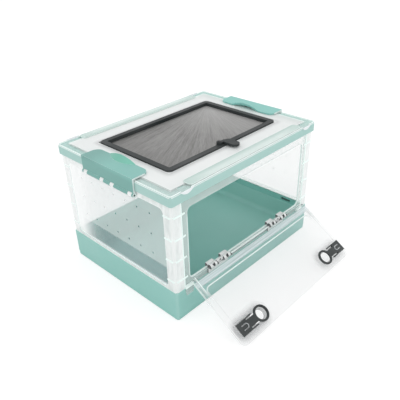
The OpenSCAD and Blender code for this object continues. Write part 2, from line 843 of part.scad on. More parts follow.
// A barrel whose top line climbs from the roof towards the middle of the lid
module lip_barrel(r) {
    translate([lip_root_x, 0, clip_top]) rotate([0, -90 + lip_slope, 0])
        translate([-lip_barrel_r, 0, -clip_reach]) cylinder(r = r, h = 3 * clip_reach, $fn = 180);
}

module right_clip() {
    color(green) side_clip();
}

module left_clip() {
    color(green) mirror([1, 0, 0]) side_clip();
}

module clip_rod() {
    end = clip_l / 2 - 1;
    translate([clip_x, 0, clip_z]) rod_y(clip_pin_d / 2, -end, end);
}

module right_clip_pin() {
    color(dark_steel) clip_rod();
}

module left_clip_pin() {
    color(dark_steel) mirror([1, 0, 0]) clip_rod();
}

// ---- Door ----

// Places its children, drawn closed with the pivot at the origin, in the open door's place.
// In there +Z runs up the closed door and +Y is its inner side.
module on_door() {
    translate([0, pivot_y, pivot_z]) rotate([door_swing, 0, 0]) children();
}

module door_panel() {
    recess_low = lug_clear + door_hinge_strip;
    recess_high = door_high - door_border;
    color(clear) on_door() difference() {
        union() {
            difference() {
                door_plate();
                for (x = [hinge_left_x, hinge_right_x])
                    block([x - lug_space, -door_w, -1], [x + lug_space, door_w, lug_clear]);
            }
            for (x = [hinge_left_x, hinge_right_x]) door_knuckle(x);
        }
        upright(door_face - door_recess, door_recess + 1, 0) difference() {
            translate([0, (recess_low + recess_high) / 2])
                round_rect(door_w - 2 * door_border, recess_high - recess_low, open_r);
            for (s = [-1, 1]) guide_pad(s);
        }
        for (x = [hinge_left_x, hinge_right_x]) {
            translate([x, 0, 0]) rotate([-90, 0, 0])
                cylinder(d = knuckle_hole_d, h = 2 * hinge_r);
            rod_x(hinge_pin_d / 2 + pin_gap, x - middle_w, x + middle_w);
        }
        for (s = [-1, 1]) finger_window(s);
    }
}

// The door's plate with the lip round the edge of its outer side
module door_plate() {
    plate_h = door_high - door_foot;
    z_mid = (door_high + door_foot) / 2;
    lip_r = door_r - door_lip_t;
    upright(door_face - door_t, door_t, z_mid) round_rect(door_w, plate_h, door_r);
    upright(door_face - door_t - door_lip_h + eps, door_lip_h, z_mid) difference() {
        round_rect(door_w, plate_h, door_r);
        round_rect(door_w - 2 * door_lip_t, plate_h - 2 * door_lip_t, lip_r);
    }
}

// Extrudes a shape drawn in X and Z, from y0 over a depth t, centred on height z
module upright(y0, t, z) {
    translate([0, y0 + t, z]) rotate([90, 0, 0]) linear_extrude(t) children();
}

// The middle knuckle of one hinge, on the door
module door_knuckle(x) {
    x0 = x - middle_w / 2;
    x1 = x + middle_w / 2;
    rod_x(hinge_r, x0, x1);
    block([x0, door_face - door_t, 0], [x1, door_face, lug_clear + door_t]);
}

// The flat left in the door's recess under a latch guide, as an outline in X and Z
module guide_pad(s) {
    x0 = latch_end_x - latch_body_l - 2;
    x1 = door_w;
    half = latch_w / 2 + run_gap + guide_rail;
    square_span(min(s * x0, s * x1), max(s * x0, s * x1), latch_up - half, latch_up + half);
}

// The finger window in the door behind a latch's ring
module finger_window(s) {
    ring_x = latch_end_x - ring_out;
    w = ring_d - 2 * ring_t - 4;
    upright(-10, 30, latch_up)
        translate([s * (ring_x + latch_travel / 2), 0]) rotate(90) oval(w, w + latch_travel);
}

// ---- Door hinges ----

// Two lugs that grip over the sill and carry the pin, joined by a strip along the rail
module hinge_bracket(x) {
    inner = middle_w / 2 + knuckle_space;
    outer = hinge_w / 2;
    grip_y = front_y + panel_t + lug_grip;
    grip_z = sill_z + lug_grip;
    back_z = sill_z + lug_up;
    strip_top = pivot_z - hinge_r - run_gap;
    color(clear) difference() {
        union() {
            for (s = [0, 1]) translate([x, 0, 0]) mirror([s, 0, 0]) {
                translate([0, pivot_y, pivot_z]) rod_x(hinge_r, inner, outer);
                block([inner, pivot_y, pivot_z - hinge_r], [outer, front_y, grip_z]);
                block([inner, front_y - eps, sill_z - lug_grip], [outer, grip_y, back_z]);
                block([inner, front_y - lug_grip, strip_top - eps], [outer, front_y, pivot_z]);
            }
            block([x - outer, front_y - lug_grip, rail_z + seat_gap], [x + outer, front_y, strip_top]);
        }
        block([x - hinge_w, front_y, rail_z - 1], [x + hinge_w, front_y + panel_t, sill_z]);
        translate([0, pivot_y, pivot_z]) rod_x(hinge_pin_d / 2 + pin_gap, x - hinge_w, x + hinge_w);
        for (s = [-1, 1]) {
            notch_x = x + s * (inner + outer) / 2;
            block([notch_x - notch_w / 2, pivot_y - 2 * hinge_r, pivot_z - 2 * hinge_r],
                [notch_x + notch_w / 2, pivot_y, pivot_z + 2 * hinge_r]);
        }
    }
}

module left_hinge_bracket() {
    hinge_bracket(hinge_left_x);
}

module right_hinge_bracket() {
    hinge_bracket(hinge_right_x);
}

module hinge_pin(x) {
    color(dark_steel) translate([0, pivot_y, pivot_z])
        rod_x(hinge_pin_d / 2, x - hinge_w / 2 - pin_proud, x + hinge_w / 2 + pin_proud);
}

module left_hinge_pin() {
    hinge_pin(hinge_left_x);
}

module right_hinge_pin() {
    hinge_pin(hinge_right_x);
}

// ---- Door latches, drawn on the closed door for the right-hand side ----

module latch() {
    ring_x = latch_end_x - ring_out;
    body_x = latch_end_x - latch_body_l;
    slot_w = (latch_w - neck_w - 2 * arm_w) / 2;
    upright(door_face + latch_rise, latch_t, latch_up) difference() {
        union() {
            square_span(body_x, latch_end_x, -latch_w / 2, latch_w / 2);
            square_span(ring_x + ring_r - ring_t, body_x + 1, -neck_w / 2, neck_w / 2);
            for (s = [-1, 1])
                square_span(body_x - arm_l / 2, body_x + arm_l / 2,
                    s > 0 ? latch_w / 2 - arm_w : -latch_w / 2,
                    s > 0 ? latch_w / 2 : -latch_w / 2 + arm_w);
            translate([ring_x, 0]) circle(ring_r);
        }
        translate([ring_x, 0]) circle(ring_r - ring_t);
        for (s = [-1, 1])
            square_span(body_x - arm_l / 2, body_x + arm_l / 2,
                s > 0 ? neck_w / 2 : -neck_w / 2 - slot_w,
                s > 0 ? neck_w / 2 + slot_w : -neck_w / 2);
        tongue_cut(latch_end_x - tongue_in);
    }
}

// The U-shaped cut that frees the latch's detent tongue, opening towards the end
module tongue_cut(x1) {
    l = tongue_l_cut;
    w = tongue_w_cut;
    difference() {
        union() {
            square_span(x1 - l + w / 2, x1, -w / 2, w / 2);
            translate([x1 - l + w / 2, 0]) circle(w / 2);
        }
        square_span(x1 - l + w / 2, x1 + 1, -w / 2 + tongue_leg, w / 2 - tongue_leg);
        translate([x1 - l + w / 2, 0]) circle(w / 2 - tongue_leg);
    }
}

module right_latch() {
    color(black) on_door() latch();
}

module left_latch() {
    color(black) on_door() mirror([1, 0, 0]) latch();
}

// The clear guide: a plinth, two side rails and small lips that hold the latch down
module latch_guide() {
    x1 = open_w / 2 - 0.9;
    x0 = latch_end_x - latch_body_l - 2;
    inside = latch_w + 2 * run_gap;
    y0 = door_face;
    y1 = door_face + latch_rise - run_gap;
    y2 = door_face + latch_rise + latch_t + run_gap;
    translate([0, 0, latch_up]) {
        difference() {
            block([x0, y0, -inside / 2 - guide_rail], [x1, y1, inside / 2 + guide_rail]);
            block([x0 - 1, y0 + 1, -neck_w / 2], [x0 + 6, y2, neck_w / 2]);
        }
        for (s = [-1, 1]) {
            z_rail = s > 0 ? inside / 2 : -inside / 2 - guide_rail;
            block([x0, y1 - eps, z_rail], [x1, y2 + 1, z_rail + guide_rail]);
            z_lip = s > 0 ? inside / 2 - latch_lip : -inside / 2 - guide_rail;
            block([x0 + 6, y2, z_lip], [x1, y2 + 1, z_lip + guide_rail + latch_lip]);
        }
    }
}

module right_latch_guide() {
    color(clear) on_door() latch_guide();
}

module left_latch_guide() {
    color(clear) on_door() mirror([1, 0, 0]) latch_guide();
}

base_tray();
front_frame();
back_panel();
left_panel();
right_panel();
top_rim();
lid_plate();
lid_front_strip();
lid_back_strip();
window_frame();
window_mesh();
window_pins();
window_catch();
catch_pin();
left_clip();
right_clip();
left_clip_pin();
right_clip_pin();
door_panel();
left_hinge_bracket();
right_hinge_bracket();
left_hinge_pin();
right_hinge_pin();
left_latch();
right_latch();
left_latch_guide();
right_latch_guide();
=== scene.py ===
"""Finishes, softened edges and fine detail for a clear-walled pet keeper.

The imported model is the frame: every piece below stands where its node stands.
All sizes are in metres: +Z is up and -Y points towards the drop-down door.
"""

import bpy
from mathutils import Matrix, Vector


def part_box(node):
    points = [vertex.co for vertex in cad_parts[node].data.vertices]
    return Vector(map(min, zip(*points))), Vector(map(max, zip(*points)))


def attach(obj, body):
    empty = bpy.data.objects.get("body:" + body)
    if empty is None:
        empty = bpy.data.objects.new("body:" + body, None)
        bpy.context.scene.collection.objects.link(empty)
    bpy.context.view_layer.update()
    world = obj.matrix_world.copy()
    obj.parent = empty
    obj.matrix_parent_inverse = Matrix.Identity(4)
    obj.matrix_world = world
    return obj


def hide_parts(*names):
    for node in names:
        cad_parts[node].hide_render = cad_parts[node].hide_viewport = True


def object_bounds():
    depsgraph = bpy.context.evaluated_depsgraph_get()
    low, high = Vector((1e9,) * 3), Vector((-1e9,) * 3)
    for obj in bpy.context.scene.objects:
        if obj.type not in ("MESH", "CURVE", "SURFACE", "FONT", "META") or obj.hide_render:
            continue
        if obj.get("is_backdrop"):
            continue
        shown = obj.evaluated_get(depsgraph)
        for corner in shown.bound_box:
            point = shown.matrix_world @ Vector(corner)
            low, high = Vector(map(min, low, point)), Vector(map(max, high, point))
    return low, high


bl_info = {
    "name": "Pet Keeper Looks",
    "version": (1, 0, 0),
    "blender": (4, 5, 0),
    "location": "View3D > Sidebar > Keeper",
    "description": "Dresses the packed pet keeper with plastics, wire mesh and steel",
    "category": "Add Mesh",
}

import math

import bmesh
import bpy
from bpy.props import FloatProperty, FloatVectorProperty, PointerProperty
from mathutils import Matrix, Vector

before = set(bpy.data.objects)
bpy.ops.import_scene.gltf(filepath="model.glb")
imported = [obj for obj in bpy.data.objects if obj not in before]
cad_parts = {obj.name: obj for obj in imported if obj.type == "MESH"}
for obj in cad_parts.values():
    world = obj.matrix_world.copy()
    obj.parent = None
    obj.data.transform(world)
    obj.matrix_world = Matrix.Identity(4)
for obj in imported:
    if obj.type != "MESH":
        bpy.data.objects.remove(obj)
cad_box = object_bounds()

MM = 0.001
TRAY_LOW, TRAY_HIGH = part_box("base_tray")
RIM_LOW, RIM_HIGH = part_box("top_rim")
TRAY_HALF = (TRAY_HIGH - TRAY_LOW) / 2
RIM_HALF = (RIM_HIGH - RIM_LOW) / 2
WINDOW_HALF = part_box("window_frame")[1]
DOOR_PIVOT = sum(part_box("left_hinge_pin"), Vector()) / 2

# The walls' outer faces stand in from the tray's side, and the front frame's tabs hang from
# just above it. Panes lie deeper: their outer face and their middle are given from the walls'
WALL_X, WALL_Y = TRAY_HIGH.x - 1.0 * MM, TRAY_HIGH.y - 1.0 * MM
WALL_FOOT = TRAY_HIGH.z + 0.2 * MM
PANE_IN, PANE_MIDDLE, WALL_THICK = 1.4 * MM, 2.1 * MM, 2.4 * MM
FRONT_SEAM = 149.2 * MM
HEADER_FOOT = 186.0 * MM
RAIL_TOP, TINT_LINE = 60.75 * MM, 91.0 * MM
VENTS_FOOT, VENTS_TOP = 95.0 * MM, 170.7 * MM

# Snap pockets in the tray's mouth: where they lie along y and z, and how deep they go
POCKET_NEAR, POCKET_FAR = 75.4 * MM, 96.0 * MM
POCKET_FOOT, POCKET_TOP = 43.4 * MM, 48.6 * MM
POCKET_DEPTH = 1.4 * MM
MOUTH_IN = 2.6 * MM

# The door lies open: up leads from its hinges to its free edge, and the normal stands square
# to its flat sides
DOOR_SWING = math.radians(122.36)
DOOR_NORMAL = Vector((0.0, math.cos(DOOR_SWING), math.sin(DOOR_SWING)))
DOOR_UP = Vector((0.0, -math.sin(DOOR_SWING), math.cos(DOOR_SWING)))
DOOR_SIDE = 137.0 * MM
FLANGE_FOOT, FLANGE_TOP = 8.0 * MM, 17.5 * MM
RECESS_HALF_X, RECESS_HALF_UP, RECESS_UP = 134.0 * MM, 44.45 * MM, 67.05 * MM
DOORWAY_HALF_X, DOORWAY_HALF_Z, DOORWAY_Z = 139.2 * MM, 60.7 * MM, 125.0 * MM
DOORWAY_ROUND = 8.0 * MM
KNUCKLE_RADIUS = 4.4 * MM
LATCH_X, LATCH_UP = 108.0 * MM, 100.0 * MM
SLOT_NEAR, SLOT_FAR = 117.5 * MM, 134.5 * MM

# Finger lips of the clips, and where the clips end along y
LIP_X, LIP_Y, LIP_FOOT = 152.1 * MM, 32.0 * MM, 219.4 * MM
CLIP_END = 59.0 * MM

FLOOR_GLOW = 0.66
CAMERA_AT = (-0.522407, -0.526498, 0.524077)
CAMERA_YAW, CAMERA_PITCH, CAMERA_ROLL = 0.797904, 0.534043, -0.030930
CAMERA_LENS, CAMERA_SENSOR = 43.554, 36.0


# ---------------------------------------------------------------- sizes and colours

def length(name, description, default):
    return FloatProperty(name=name, description=description, default=default, unit="LENGTH")


def tint(name, description, default):
    return FloatVectorProperty(name=name, description=description, default=default, size=3,
                               subtype="COLOR")


class KeeperSizes(bpy.types.PropertyGroup):
    """Small sizes of the keeper's moulded detail"""

    plastic_round: length(
        "Plastic edge rounding", "Radius of the rounded edges on the green and clear plastic",
        0.4 * MM)
    post_round: length(
        "Corner post rounding", "Radius of the upright corners of the clear walls",
        4.2 * MM)
    frame_round: length(
        "Window frame rounding", "Radius of the rounded edges on the black window frame",
        0.9 * MM)
    small_round: length(
        "Small part rounding", "Radius of the rounded edges on latches and hinges", 0.3 * MM)
    guide_round: length(
        "Guide rounding", "Radius of the rounded edges on the latches' guides", 0.2 * MM)
    clip_round: length(
        "Clip rounding", "Radius of the rounded edges on the side clips", 0.6 * MM)
    floor_fillet: length(
        "Tray floor fillet", "Radius between the tray's walls and its floor",
        9.0 * MM)
    weave_pitch: length("Mesh pitch", "Distance from wire to wire in the window mesh", 1.6 * MM)


class KeeperColours(bpy.types.PropertyGroup):
    """Base colours of the keeper's finishes"""

    tray_green: tint("Tray green", "Colour of the green tray", (0.285, 0.595, 0.540))
    # Painted light: lighter than the tray green, to make up for the shade inside the tray
    lit_inside_green: tint(
        "Tray inside", "Colour of the tray's floor and inner sides",
        (0.310, 0.690, 0.620))
    rim_green: tint("Rim green", "Colour of the green rim under the lid", (0.370, 0.620, 0.575))
    clip_green: tint("Clip green", "Colour of the side clips", (0.222, 0.500, 0.452))
    # Painted light and shade: a copy of the clip green for how light falls on the tilted lips
    lip_shading_green: tint(
        "Clip lip green", "Colour of the clips' arched finger lips",
        (0.185, 0.530, 0.420))
    clear: tint("Clear plastic", "Tint of the clear walls and door", (0.965, 0.990, 0.985))
    frosted: tint("Frosted plastic", "Tint of the frosted side panes", (0.950, 0.985, 0.995))
    lower_pane: tint(
        "Lower pane", "Tint of the lower part of the side panes",
        (0.430, 0.460, 0.530))
    # Painted highlight: the tint of the bright edges of the clear plastic
    clear_edge_highlight: tint(
        "Clear edges", "Tint of the bright edges of the clear plastic",
        (0.900, 1.000, 0.975))
    flange: tint(
        "Door flange", "Tint of the streaky strip along the door's hinges",
        (0.800, 0.870, 0.890))
    milky: tint("Milky lid", "Colour of the milky lid", (0.880, 0.910, 0.905))
    strip: tint("Lid strips", "Colour of the pale strips on the lid", (0.740, 0.990, 0.920))
    black: tint(
        "Black plastic", "Colour of the window frame, catch and latches",
        (0.020, 0.026, 0.027))
    wire: tint("Wire", "Colour of the window's woven wire", (0.300, 0.296, 0.288))
    steel: tint("Pins", "Colour of the hinge pins and rods", (0.045, 0.045, 0.050))


def sizes():
    return bpy.context.scene.keeper_sizes


def colours():
    return bpy.context.scene.keeper_colours


# ---------------------------------------------------------------- node helpers

class Value:
    """Something that nodes work out; adding, multiplying and so on adds a node"""

    def __init__(self, tree, socket):
        self.tree = tree
        self.socket = socket

    def __add__(self, other):
        return self.tree.maths("ADD", self, other)

    def __sub__(self, other):
        return self.tree.maths("SUBTRACT", self, other)

    def __mul__(self, other):
        return self.tree.maths("MULTIPLY", self, other)

    def __truediv__(self, other):
        return self.tree.maths("DIVIDE", self, other)

    def __pow__(self, other):
        return self.tree.maths("POWER", self, other)

    def __abs__(self):
        return self.tree.maths("ABSOLUTE", self)


class Tree:
    """Adds nodes to a node tree and links them by name"""

    def __init__(self, tree):
        self.tree = tree

    def put(self, node, socket, value):
        target = node.inputs[socket]
        if isinstance(value, Value):
            self.tree.links.new(value.socket, target)
        elif target.type == "RGBA" and len(value) == 3:
            target.default_value = (*value, 1.0)
        else:
            target.default_value = value

    def add(self, kind, **values):
        node = self.tree.nodes.new(kind)
        for key, value in values.items():
            if hasattr(node, key):
                setattr(node, key, value)
            else:
                self.put(node, key.replace("_", " "), value)
        return node

    def read(self, kind, output, **values):
        """One output of a new node"""
        return Value(self, self.add(kind, **values).outputs[output])

    def use(self, group, **values):
        """The outputs of a shared effect, by name"""
        node = self.add("ShaderNodeGroup", node_tree=group(), **values)
        return {socket.name: Value(self, socket) for socket in node.outputs}

    def maths(self, operation, a, b=0.0, c=0.0, clamp=False):
        node = self.add("ShaderNodeMath", operation=operation, use_clamp=clamp)
        for index, value in enumerate((a, b, c)):
            self.put(node, index, value)
        return Value(self, node.outputs[0])

    def most(self, a, b):
        return self.maths("MAXIMUM", a, b)

    def least(self, a, b):
        return self.maths("MINIMUM", a, b)

    def distance(self, a, b):
        """How far a point lies from the middle, by its two coordinates"""
        return self.maths("SQRT", a * a + b * b)

    def noise(self, vector, scale, detail=2.0, rough=0.5):
        return self.read("ShaderNodeTexNoise", "Fac", Vector=vector, Scale=scale,
                         Detail=detail, Roughness=rough)

    def remap(self, value, low, high, to_low=0.0, to_high=1.0):
        return self.read("ShaderNodeMapRange", "Result", clamp=True, Value=value,
                         From_Min=low, From_Max=high, To_Min=to_low, To_Max=to_high)

    def step(self, value, at, half, to_low=0.0, to_high=1.0):
        """A soft step at one place, half a width before it to half a width after it"""
        return self.remap(value, at - half, at + half, to_low, to_high)

    def blend(self, factor, a, b):
        node = self.add("ShaderNodeMix", data_type="RGBA")
        for index, value in ((0, factor), (6, a), (7, b)):
            self.put(node, index, value)
        return Value(self, node.outputs[2])

    def vector(self, x, y, z=0.0):
        return self.read("ShaderNodeCombineXYZ", "Vector", X=x, Y=y, Z=z)

    def place(self):
        return self.read("ShaderNodeTexCoord", "Object")

    def axes(self):
        """The place on the piece, as its x, y and z"""
        node = self.add("ShaderNodeSeparateXYZ", Vector=self.place())
        return [Value(self, socket) for socket in node.outputs]


class Finish(Tree):
    """The node tree of a new material, with its Principled shader"""

    def __init__(self, name):
        self.material = bpy.data.materials.new(name)
        self.material.use_nodes = True
        super().__init__(self.material.node_tree)
        self.shader = self.tree.nodes["Principled BSDF"]

    def shade(self, **values):
        for key, value in values.items():
            self.put(self.shader, key.replace("_", " "), value)

    # Painted light: emission that stands in for light on a part that is no lamp
    def painted_glow(self, colour):
        self.shade(Emission_Color=colour, Emission_Strength=1.0)

    def bump(self, height, strength, distance):
        normal = self.read("ShaderNodeBump", "Normal", Strength=strength, Distance=distance,
                           Height=height)
        self.shade(Normal=normal)


def build_group(name, inputs, build):
    """A shader node group with named sockets"""
    group = bpy.data.node_groups.new(name, "ShaderNodeTree")
    for key, value in inputs.items():
        colour = isinstance(value, tuple)
        socket = group.interface.new_socket(
            key.replace("_", " "), in_out="INPUT",
            socket_type="NodeSocketColor" if colour else "NodeSocketFloat")
        socket.default_value = (*value, 1.0) if colour else value
    tree = Tree(group)
    source = group.nodes.new("NodeGroupInput")
    given = [Value(tree, socket) for socket in source.outputs[:len(inputs)]]
    results = build(tree, *given)
    for label, value in results.items():
        kind = "NodeSocketColor" if value.socket.type == "RGBA" else "NodeSocketFloat"
        group.interface.new_socket(label, in_out="OUTPUT", socket_type=kind)
    sink = group.nodes.new("NodeGroupOutput")
    for label, value in results.items():
        tree.put(sink, label, value)
    return group


def effect(name, **inputs):
    """Turns a function into a shared shader node group, built when it is first used"""
    def wrap(build):
        def group():
            return bpy.data.node_groups.get(name) or build_group(name, inputs, build)
        return group
    return wrap


# ---------------------------------------------------------------- shared effects

@effect("Moulded Surface", Colour=(0.5, 0.5, 0.5), Drift_Colour=(0.5, 0.5, 0.5),
        Drift_Scale=9.0, Mark_Scale=60.0, Grain_Scale=1600.0, Roughness=0.4,
        Roughness_Spread=0.2)
def moulded_surface(t, colour, drift_colour, drift_scale, mark_scale, grain_scale, rough, spread):
    """Slow colour drift, fine moulding grain and handling marks of a moulded plastic"""
    at = t.place()
    drift = t.noise(at, drift_scale)
    marks = t.noise(at, mark_scale, 4.0, 0.65)
    return {"Colour": t.blend(t.remap(drift, 0.35, 0.65), colour, drift_colour),
            "Roughness": t.maths("ADD", rough, (marks - 0.5) * spread, clamp=True),
            "Height": t.noise(at, grain_scale)}


@effect("Edge Wear And Highlight", From=0.53, To=0.62)
def edge_wear_and_highlight(t, low, high):
    """Paler outer edges, as a mask: slightly worn plastic and a painted highlight"""
    worn_and_lit = t.read("ShaderNodeNewGeometry", "Pointiness") + t.noise(t.place(), 90.0, 3.0) * 0.04
    return {"Mask": t.remap(worn_and_lit, low, high)}


@effect("Frosted Haze", Haze=0.3, Spread=0.08, Cloud_Scale=14.0)
def frosted_haze(t, haze, spread, cloud_scale):
    """How milky a clear moulding is: clouded a little, with faint flow lines"""
    at = t.place()
    cloud = (t.noise(at, cloud_scale, 3.0) - 0.5) * spread
    flow = t.noise(at, 420.0)
    return {"Alpha": t.maths("ADD", haze, cloud, clamp=True),
            "Roughness": t.remap(flow, 0.3, 0.7, 0.12, 0.26),
            "Height": flow}


@effect("Rim Band", Half_Length=0.17, Half_Width=0.13, Band=0.018)
def rim_band(t, half_length, half_width, band):
    """Where the lid lies over the rim's flat top, and the line along that top's inner edge"""
    x, y, _z = t.axes()
    edge = t.least(half_length - abs(x), half_width - abs(y))
    return {"Mask": t.remap(edge, band - 1.4 * MM, band + 1.0 * MM, 1.0, 0.0),
            "Line": t.remap(abs(edge - band), 0.5 * MM, 1.4 * MM, 1.0, 0.0)}


@effect("Corner Highlight", Half_Length=0.17, Half_Width=0.13, Spread=0.003)
def corner_highlight(t, half_length, half_width, spread):
    """A painted highlight close to the upright corners of a box-shaped piece"""
    x, y, _z = t.axes()
    near = t.most(half_length - abs(x), half_width - abs(y))
    return {"Mask": t.remap(near, spread, spread * 1.8, 1.0, 0.0)}


@effect("Frame Shade", Half_Length=0.12, Half_Width=0.08, Line=0.0016, Reach=0.011)
def frame_shade(t, half_length, half_width, line, reach):
    """Painted soft grey shade close to a rectangle, such as on the lid round the window frame"""
    x, y, _z = t.axes()
    away = t.distance(t.most(abs(x) - half_length, 0.0), t.most(abs(y) - half_width, 0.0))
    inner = t.remap(away, line, line * 1.6)
    return {"Mask": inner * t.remap(away, line * 1.6, reach, 1.0, 0.0)}


@effect("Border Line", Across=0.0, Along=0.0, Half_Across=0.1, Half_Along=0.05, Corner=0.008,
        Width=0.001, Reach=0.01)
def border_line(t, across, along, half_across, half_along, corner, width, reach):
    """A fine line along a round-cornered rectangle, and a soft halo round it"""
    over_x = abs(across) - (half_across - corner)
    over_y = abs(along) - (half_along - corner)
    far = t.distance(t.most(over_x, 0.0), t.most(over_y, 0.0))
    near = t.least(t.most(over_x, over_y), 0.0)
    away = far + near - corner
    return {"Line": t.remap(abs(away), width * 0.5, width, 1.0, 0.0),
            "Halo": t.remap(away, 0.0, reach, 1.0, 0.0)}


@effect("Ray Streaks", Corner_X=0.118, Corner_Y=0.074, Rays=34.0)
def ray_streaks(t, corner_x, corner_y, rays):
    """Fine light and dark streaks that fan out from one corner of the woven wire, and a painted
    shade that grows away from that corner
    """
    x, y, _z = t.axes()
    u, v = corner_x - x, corner_y - y
    reach = t.distance(u, v)
    fan = t.vector(t.maths("ARCTAN2", v, u) * rays, reach * 9.0)
    both = t.noise(fan, 1.0, 3.0, 0.6) * 0.5 + t.noise(fan, 5.0, 2.0, 0.7) * 0.5
    return {"Streak": t.remap(both, 0.38, 0.62), "Dim": t.remap(reach, 0.04, 0.27)}


@effect("Wire Weave", Pitch=0.0016, Open=0.6)
def wire_weave(t, pitch, gap):
    """Plain-woven wire: where there is wire, how high it stands, and its light and dark crowns"""
    x, y, _z = t.axes()
    across, along = x / pitch, y / pitch
    warp = abs(t.maths("COSINE", across * math.pi))
    weft = abs(t.maths("COSINE", along * math.pi))
    over = t.maths("SINE", (across + along) * math.pi)
    crown = t.maths("MULTIPLY_ADD", over, 0.5, 0.5)
    return {"Mask": t.most(t.maths("GREATER_THAN", warp, gap), t.maths("GREATER_THAN", weft, gap)),
            "Height": t.most(warp, weft) * crown,
            "Crown": crown}


# ---------------------------------------------------------------- finishes

def lighter(colour, amount):
    return tuple(min(1.0, c + (1.0 - c) * amount) for c in colour)


def darker(colour, amount):
    return tuple(c * (1.0 - amount) for c in colour)


def finish(name):
    """One of the keeper's finishes, made when it is first asked for"""
    if name not in bpy.data.materials:
        FINISHES[name](Finish(name))
    return bpy.data.materials[name]


def moulded(m, colour, drift, rough, spread=0.2, grain=0.12, depth=0.05 * MM, **scales):
    """The roughness and grain of a moulded plastic; gives back its slowly drifting colour"""
    surface = m.use(moulded_surface, Colour=colour, Drift_Colour=drift, Roughness=rough,
                    Roughness_Spread=spread, **scales)
    m.shade(Roughness=surface["Roughness"])
    m.bump(surface["Height"], grain, depth)
    return surface["Colour"]


def opaque(m, colour, rough, grain=0.12, wear_and_highlight=0.18, gloss=0.5, corner=None):
    """Moulded solid plastic; corner gives the half size of a box whose upright corners get a
    painted highlight
    """
    skin = moulded(m, colour, lighter(colour, 0.04), rough, 0.16, grain)
    # Paler edges: slightly worn plastic and a painted highlight
    pale = m.use(edge_wear_and_highlight)["Mask"] * wear_and_highlight
    if corner:
        light = m.use(corner_highlight, Half_Length=corner.x, Half_Width=corner.y)
        pale = m.most(pale, light["Mask"] * 0.16)
    m.shade(Base_Color=m.blend(pale, skin, lighter(colour, 0.5)), Specular_IOR_Level=gloss)


def frosted(m, colour, haze, spread=0.05, cloud=14.0, behind=1.0, bump=0.03):
    """The colour and grain of a clear plastic. Gives back how much of the face shows: haze, or
    the share behind of it when the face is seen from inside the wall"""
    frost = m.use(frosted_haze, Haze=haze, Spread=spread, Cloud_Scale=cloud)
    m.shade(Base_Color=colour, Roughness=frost["Roughness"])
    m.bump(frost["Height"], bump, 0.1 * MM)
    if behind == 1.0:
        return frost["Alpha"]
    back = m.read("ShaderNodeNewGeometry", "Backfacing")
    return frost["Alpha"] * m.remap(back, 0.0, 1.0, 1.0, behind)


def sheen(m, width, power, amount):
    """More of a clear face shows where it is seen at a slant"""
    return m.read("ShaderNodeLayerWeight", "Facing", Blend=width) ** power * amount


def clear(m, colour, haze, spread=0.05, cloud=14.0, gloss=0.3, behind=1.0, painted_glow=0.0):
    """Clear or milky plastic with a sheen; painted_glow is painted emission that stands in for the
    light that runs out of an edge
    """
    shown = frosted(m, colour, haze, spread, cloud, behind)
    m.shade(Alpha=m.maths("ADD", shown, sheen(m, 0.25, 2.5, gloss), clamp=True))
    if painted_glow:
        m.painted_glow(darker(colour, 1.0 - painted_glow))


def tray_green(m):
    # Painted highlights on the tray's upright corners
    opaque(m, colours().tray_green, 0.42, corner=TRAY_HALF)


def tray_inside(m):
    """The tray's inside: painted lighter than the outside for the shade under the lid, with
    painted light towards its right end and painted shade in its near left corner
    """
    x, y, _z = m.axes()
    green = colours().lit_inside_green
    # Painted light towards the right end
    lit = m.remap(x, -0.04, 0.15)
    # Painted shade in the near left corner
    dark_x, dark_y = -0.135, -0.125
    corner = m.remap(m.distance(x - dark_x, y - dark_y), 0.02, 0.10, 0.55, 0.0)
    skin = moulded(m, m.blend(lit, darker(green, 0.19), lighter(green, 0.10)),
                   m.blend(lit, darker(green, 0.14), lighter(green, 0.14)), 0.5, 0.16)
    m.shade(Base_Color=m.blend(corner, skin, darker(green, 0.6)))


def clear_seated(m):
    # A faint painted light given off by the seated wall feet
    clear(m, darker(colours().lit_inside_green, 0.12), 0.94, gloss=0.1, painted_glow=0.06)


def rim_green(m):
    opaque(m, colours().rim_green, 0.40, wear_and_highlight=0.3)


def rim_edge_highlight(m):
    # Painted highlight along the rim's outer top edge
    opaque(m, lighter(colours().rim_green, 0.55), 0.35, wear_and_highlight=0.3)


def clip_green(m):
    """The clips: painted shade down their side and at the left one's far end"""
    x, y, z = m.axes()
    green = colours().clip_green
    # Painted shade on the clips' sides, below their top
    on_top = m.remap(z, 0.2120, 0.2185)
    # Painted shade at the left clip's far end
    shaded = m.remap(y, 0.0, 0.045) * m.remap(x, -0.1, 0.1, 0.8, 0.0)
    top = m.blend(m.remap(x, -0.1, 0.1), green, (green[0], green[1] * 1.12, green[2] * 1.12))
    top = m.blend(shaded, top, darker(green, 0.28))
    skin = moulded(m, m.blend(on_top, darker(green, 0.16), top),
                   m.blend(on_top, darker(green, 0.14), top), 0.38, 0.16)
    m.shade(Base_Color=skin)


def clip_edge_highlight(m):
    # Painted highlight on the clips' rounded edges
    opaque(m, lighter(colours().clip_green, 0.62), 0.32, wear_and_highlight=0.3)


def clip_lip(m):
    """The arched lips: a lit and shaded copy of the clip green, with painted shade towards their
    far end
    """
    _x, y, _z = m.axes()
    green = colours().lip_shading_green
    lit = m.remap(y, -0.018, 0.026, 1.0, 0.0)
    m.shade(Base_Color=moulded(m, m.blend(lit, darker(green, 0.3), green), green, 0.36))


def snap_pocket(m):
    # Painted shade in the deep snap pockets
    opaque(m, darker(colours().tray_green, 0.80), 0.7)


def black_frame(m):
    opaque(m, colours().black, 0.42, grain=0.3, wear_and_highlight=0.02, gloss=0.16)


def black_latch(m):
    opaque(m, lighter(colours().black, 0.012), 0.46, grain=0.3, wear_and_highlight=0.03, gloss=0.25)


def latch_slot(m):
    opaque(m, (0.80, 0.82, 0.84), 0.5, grain=0.3)


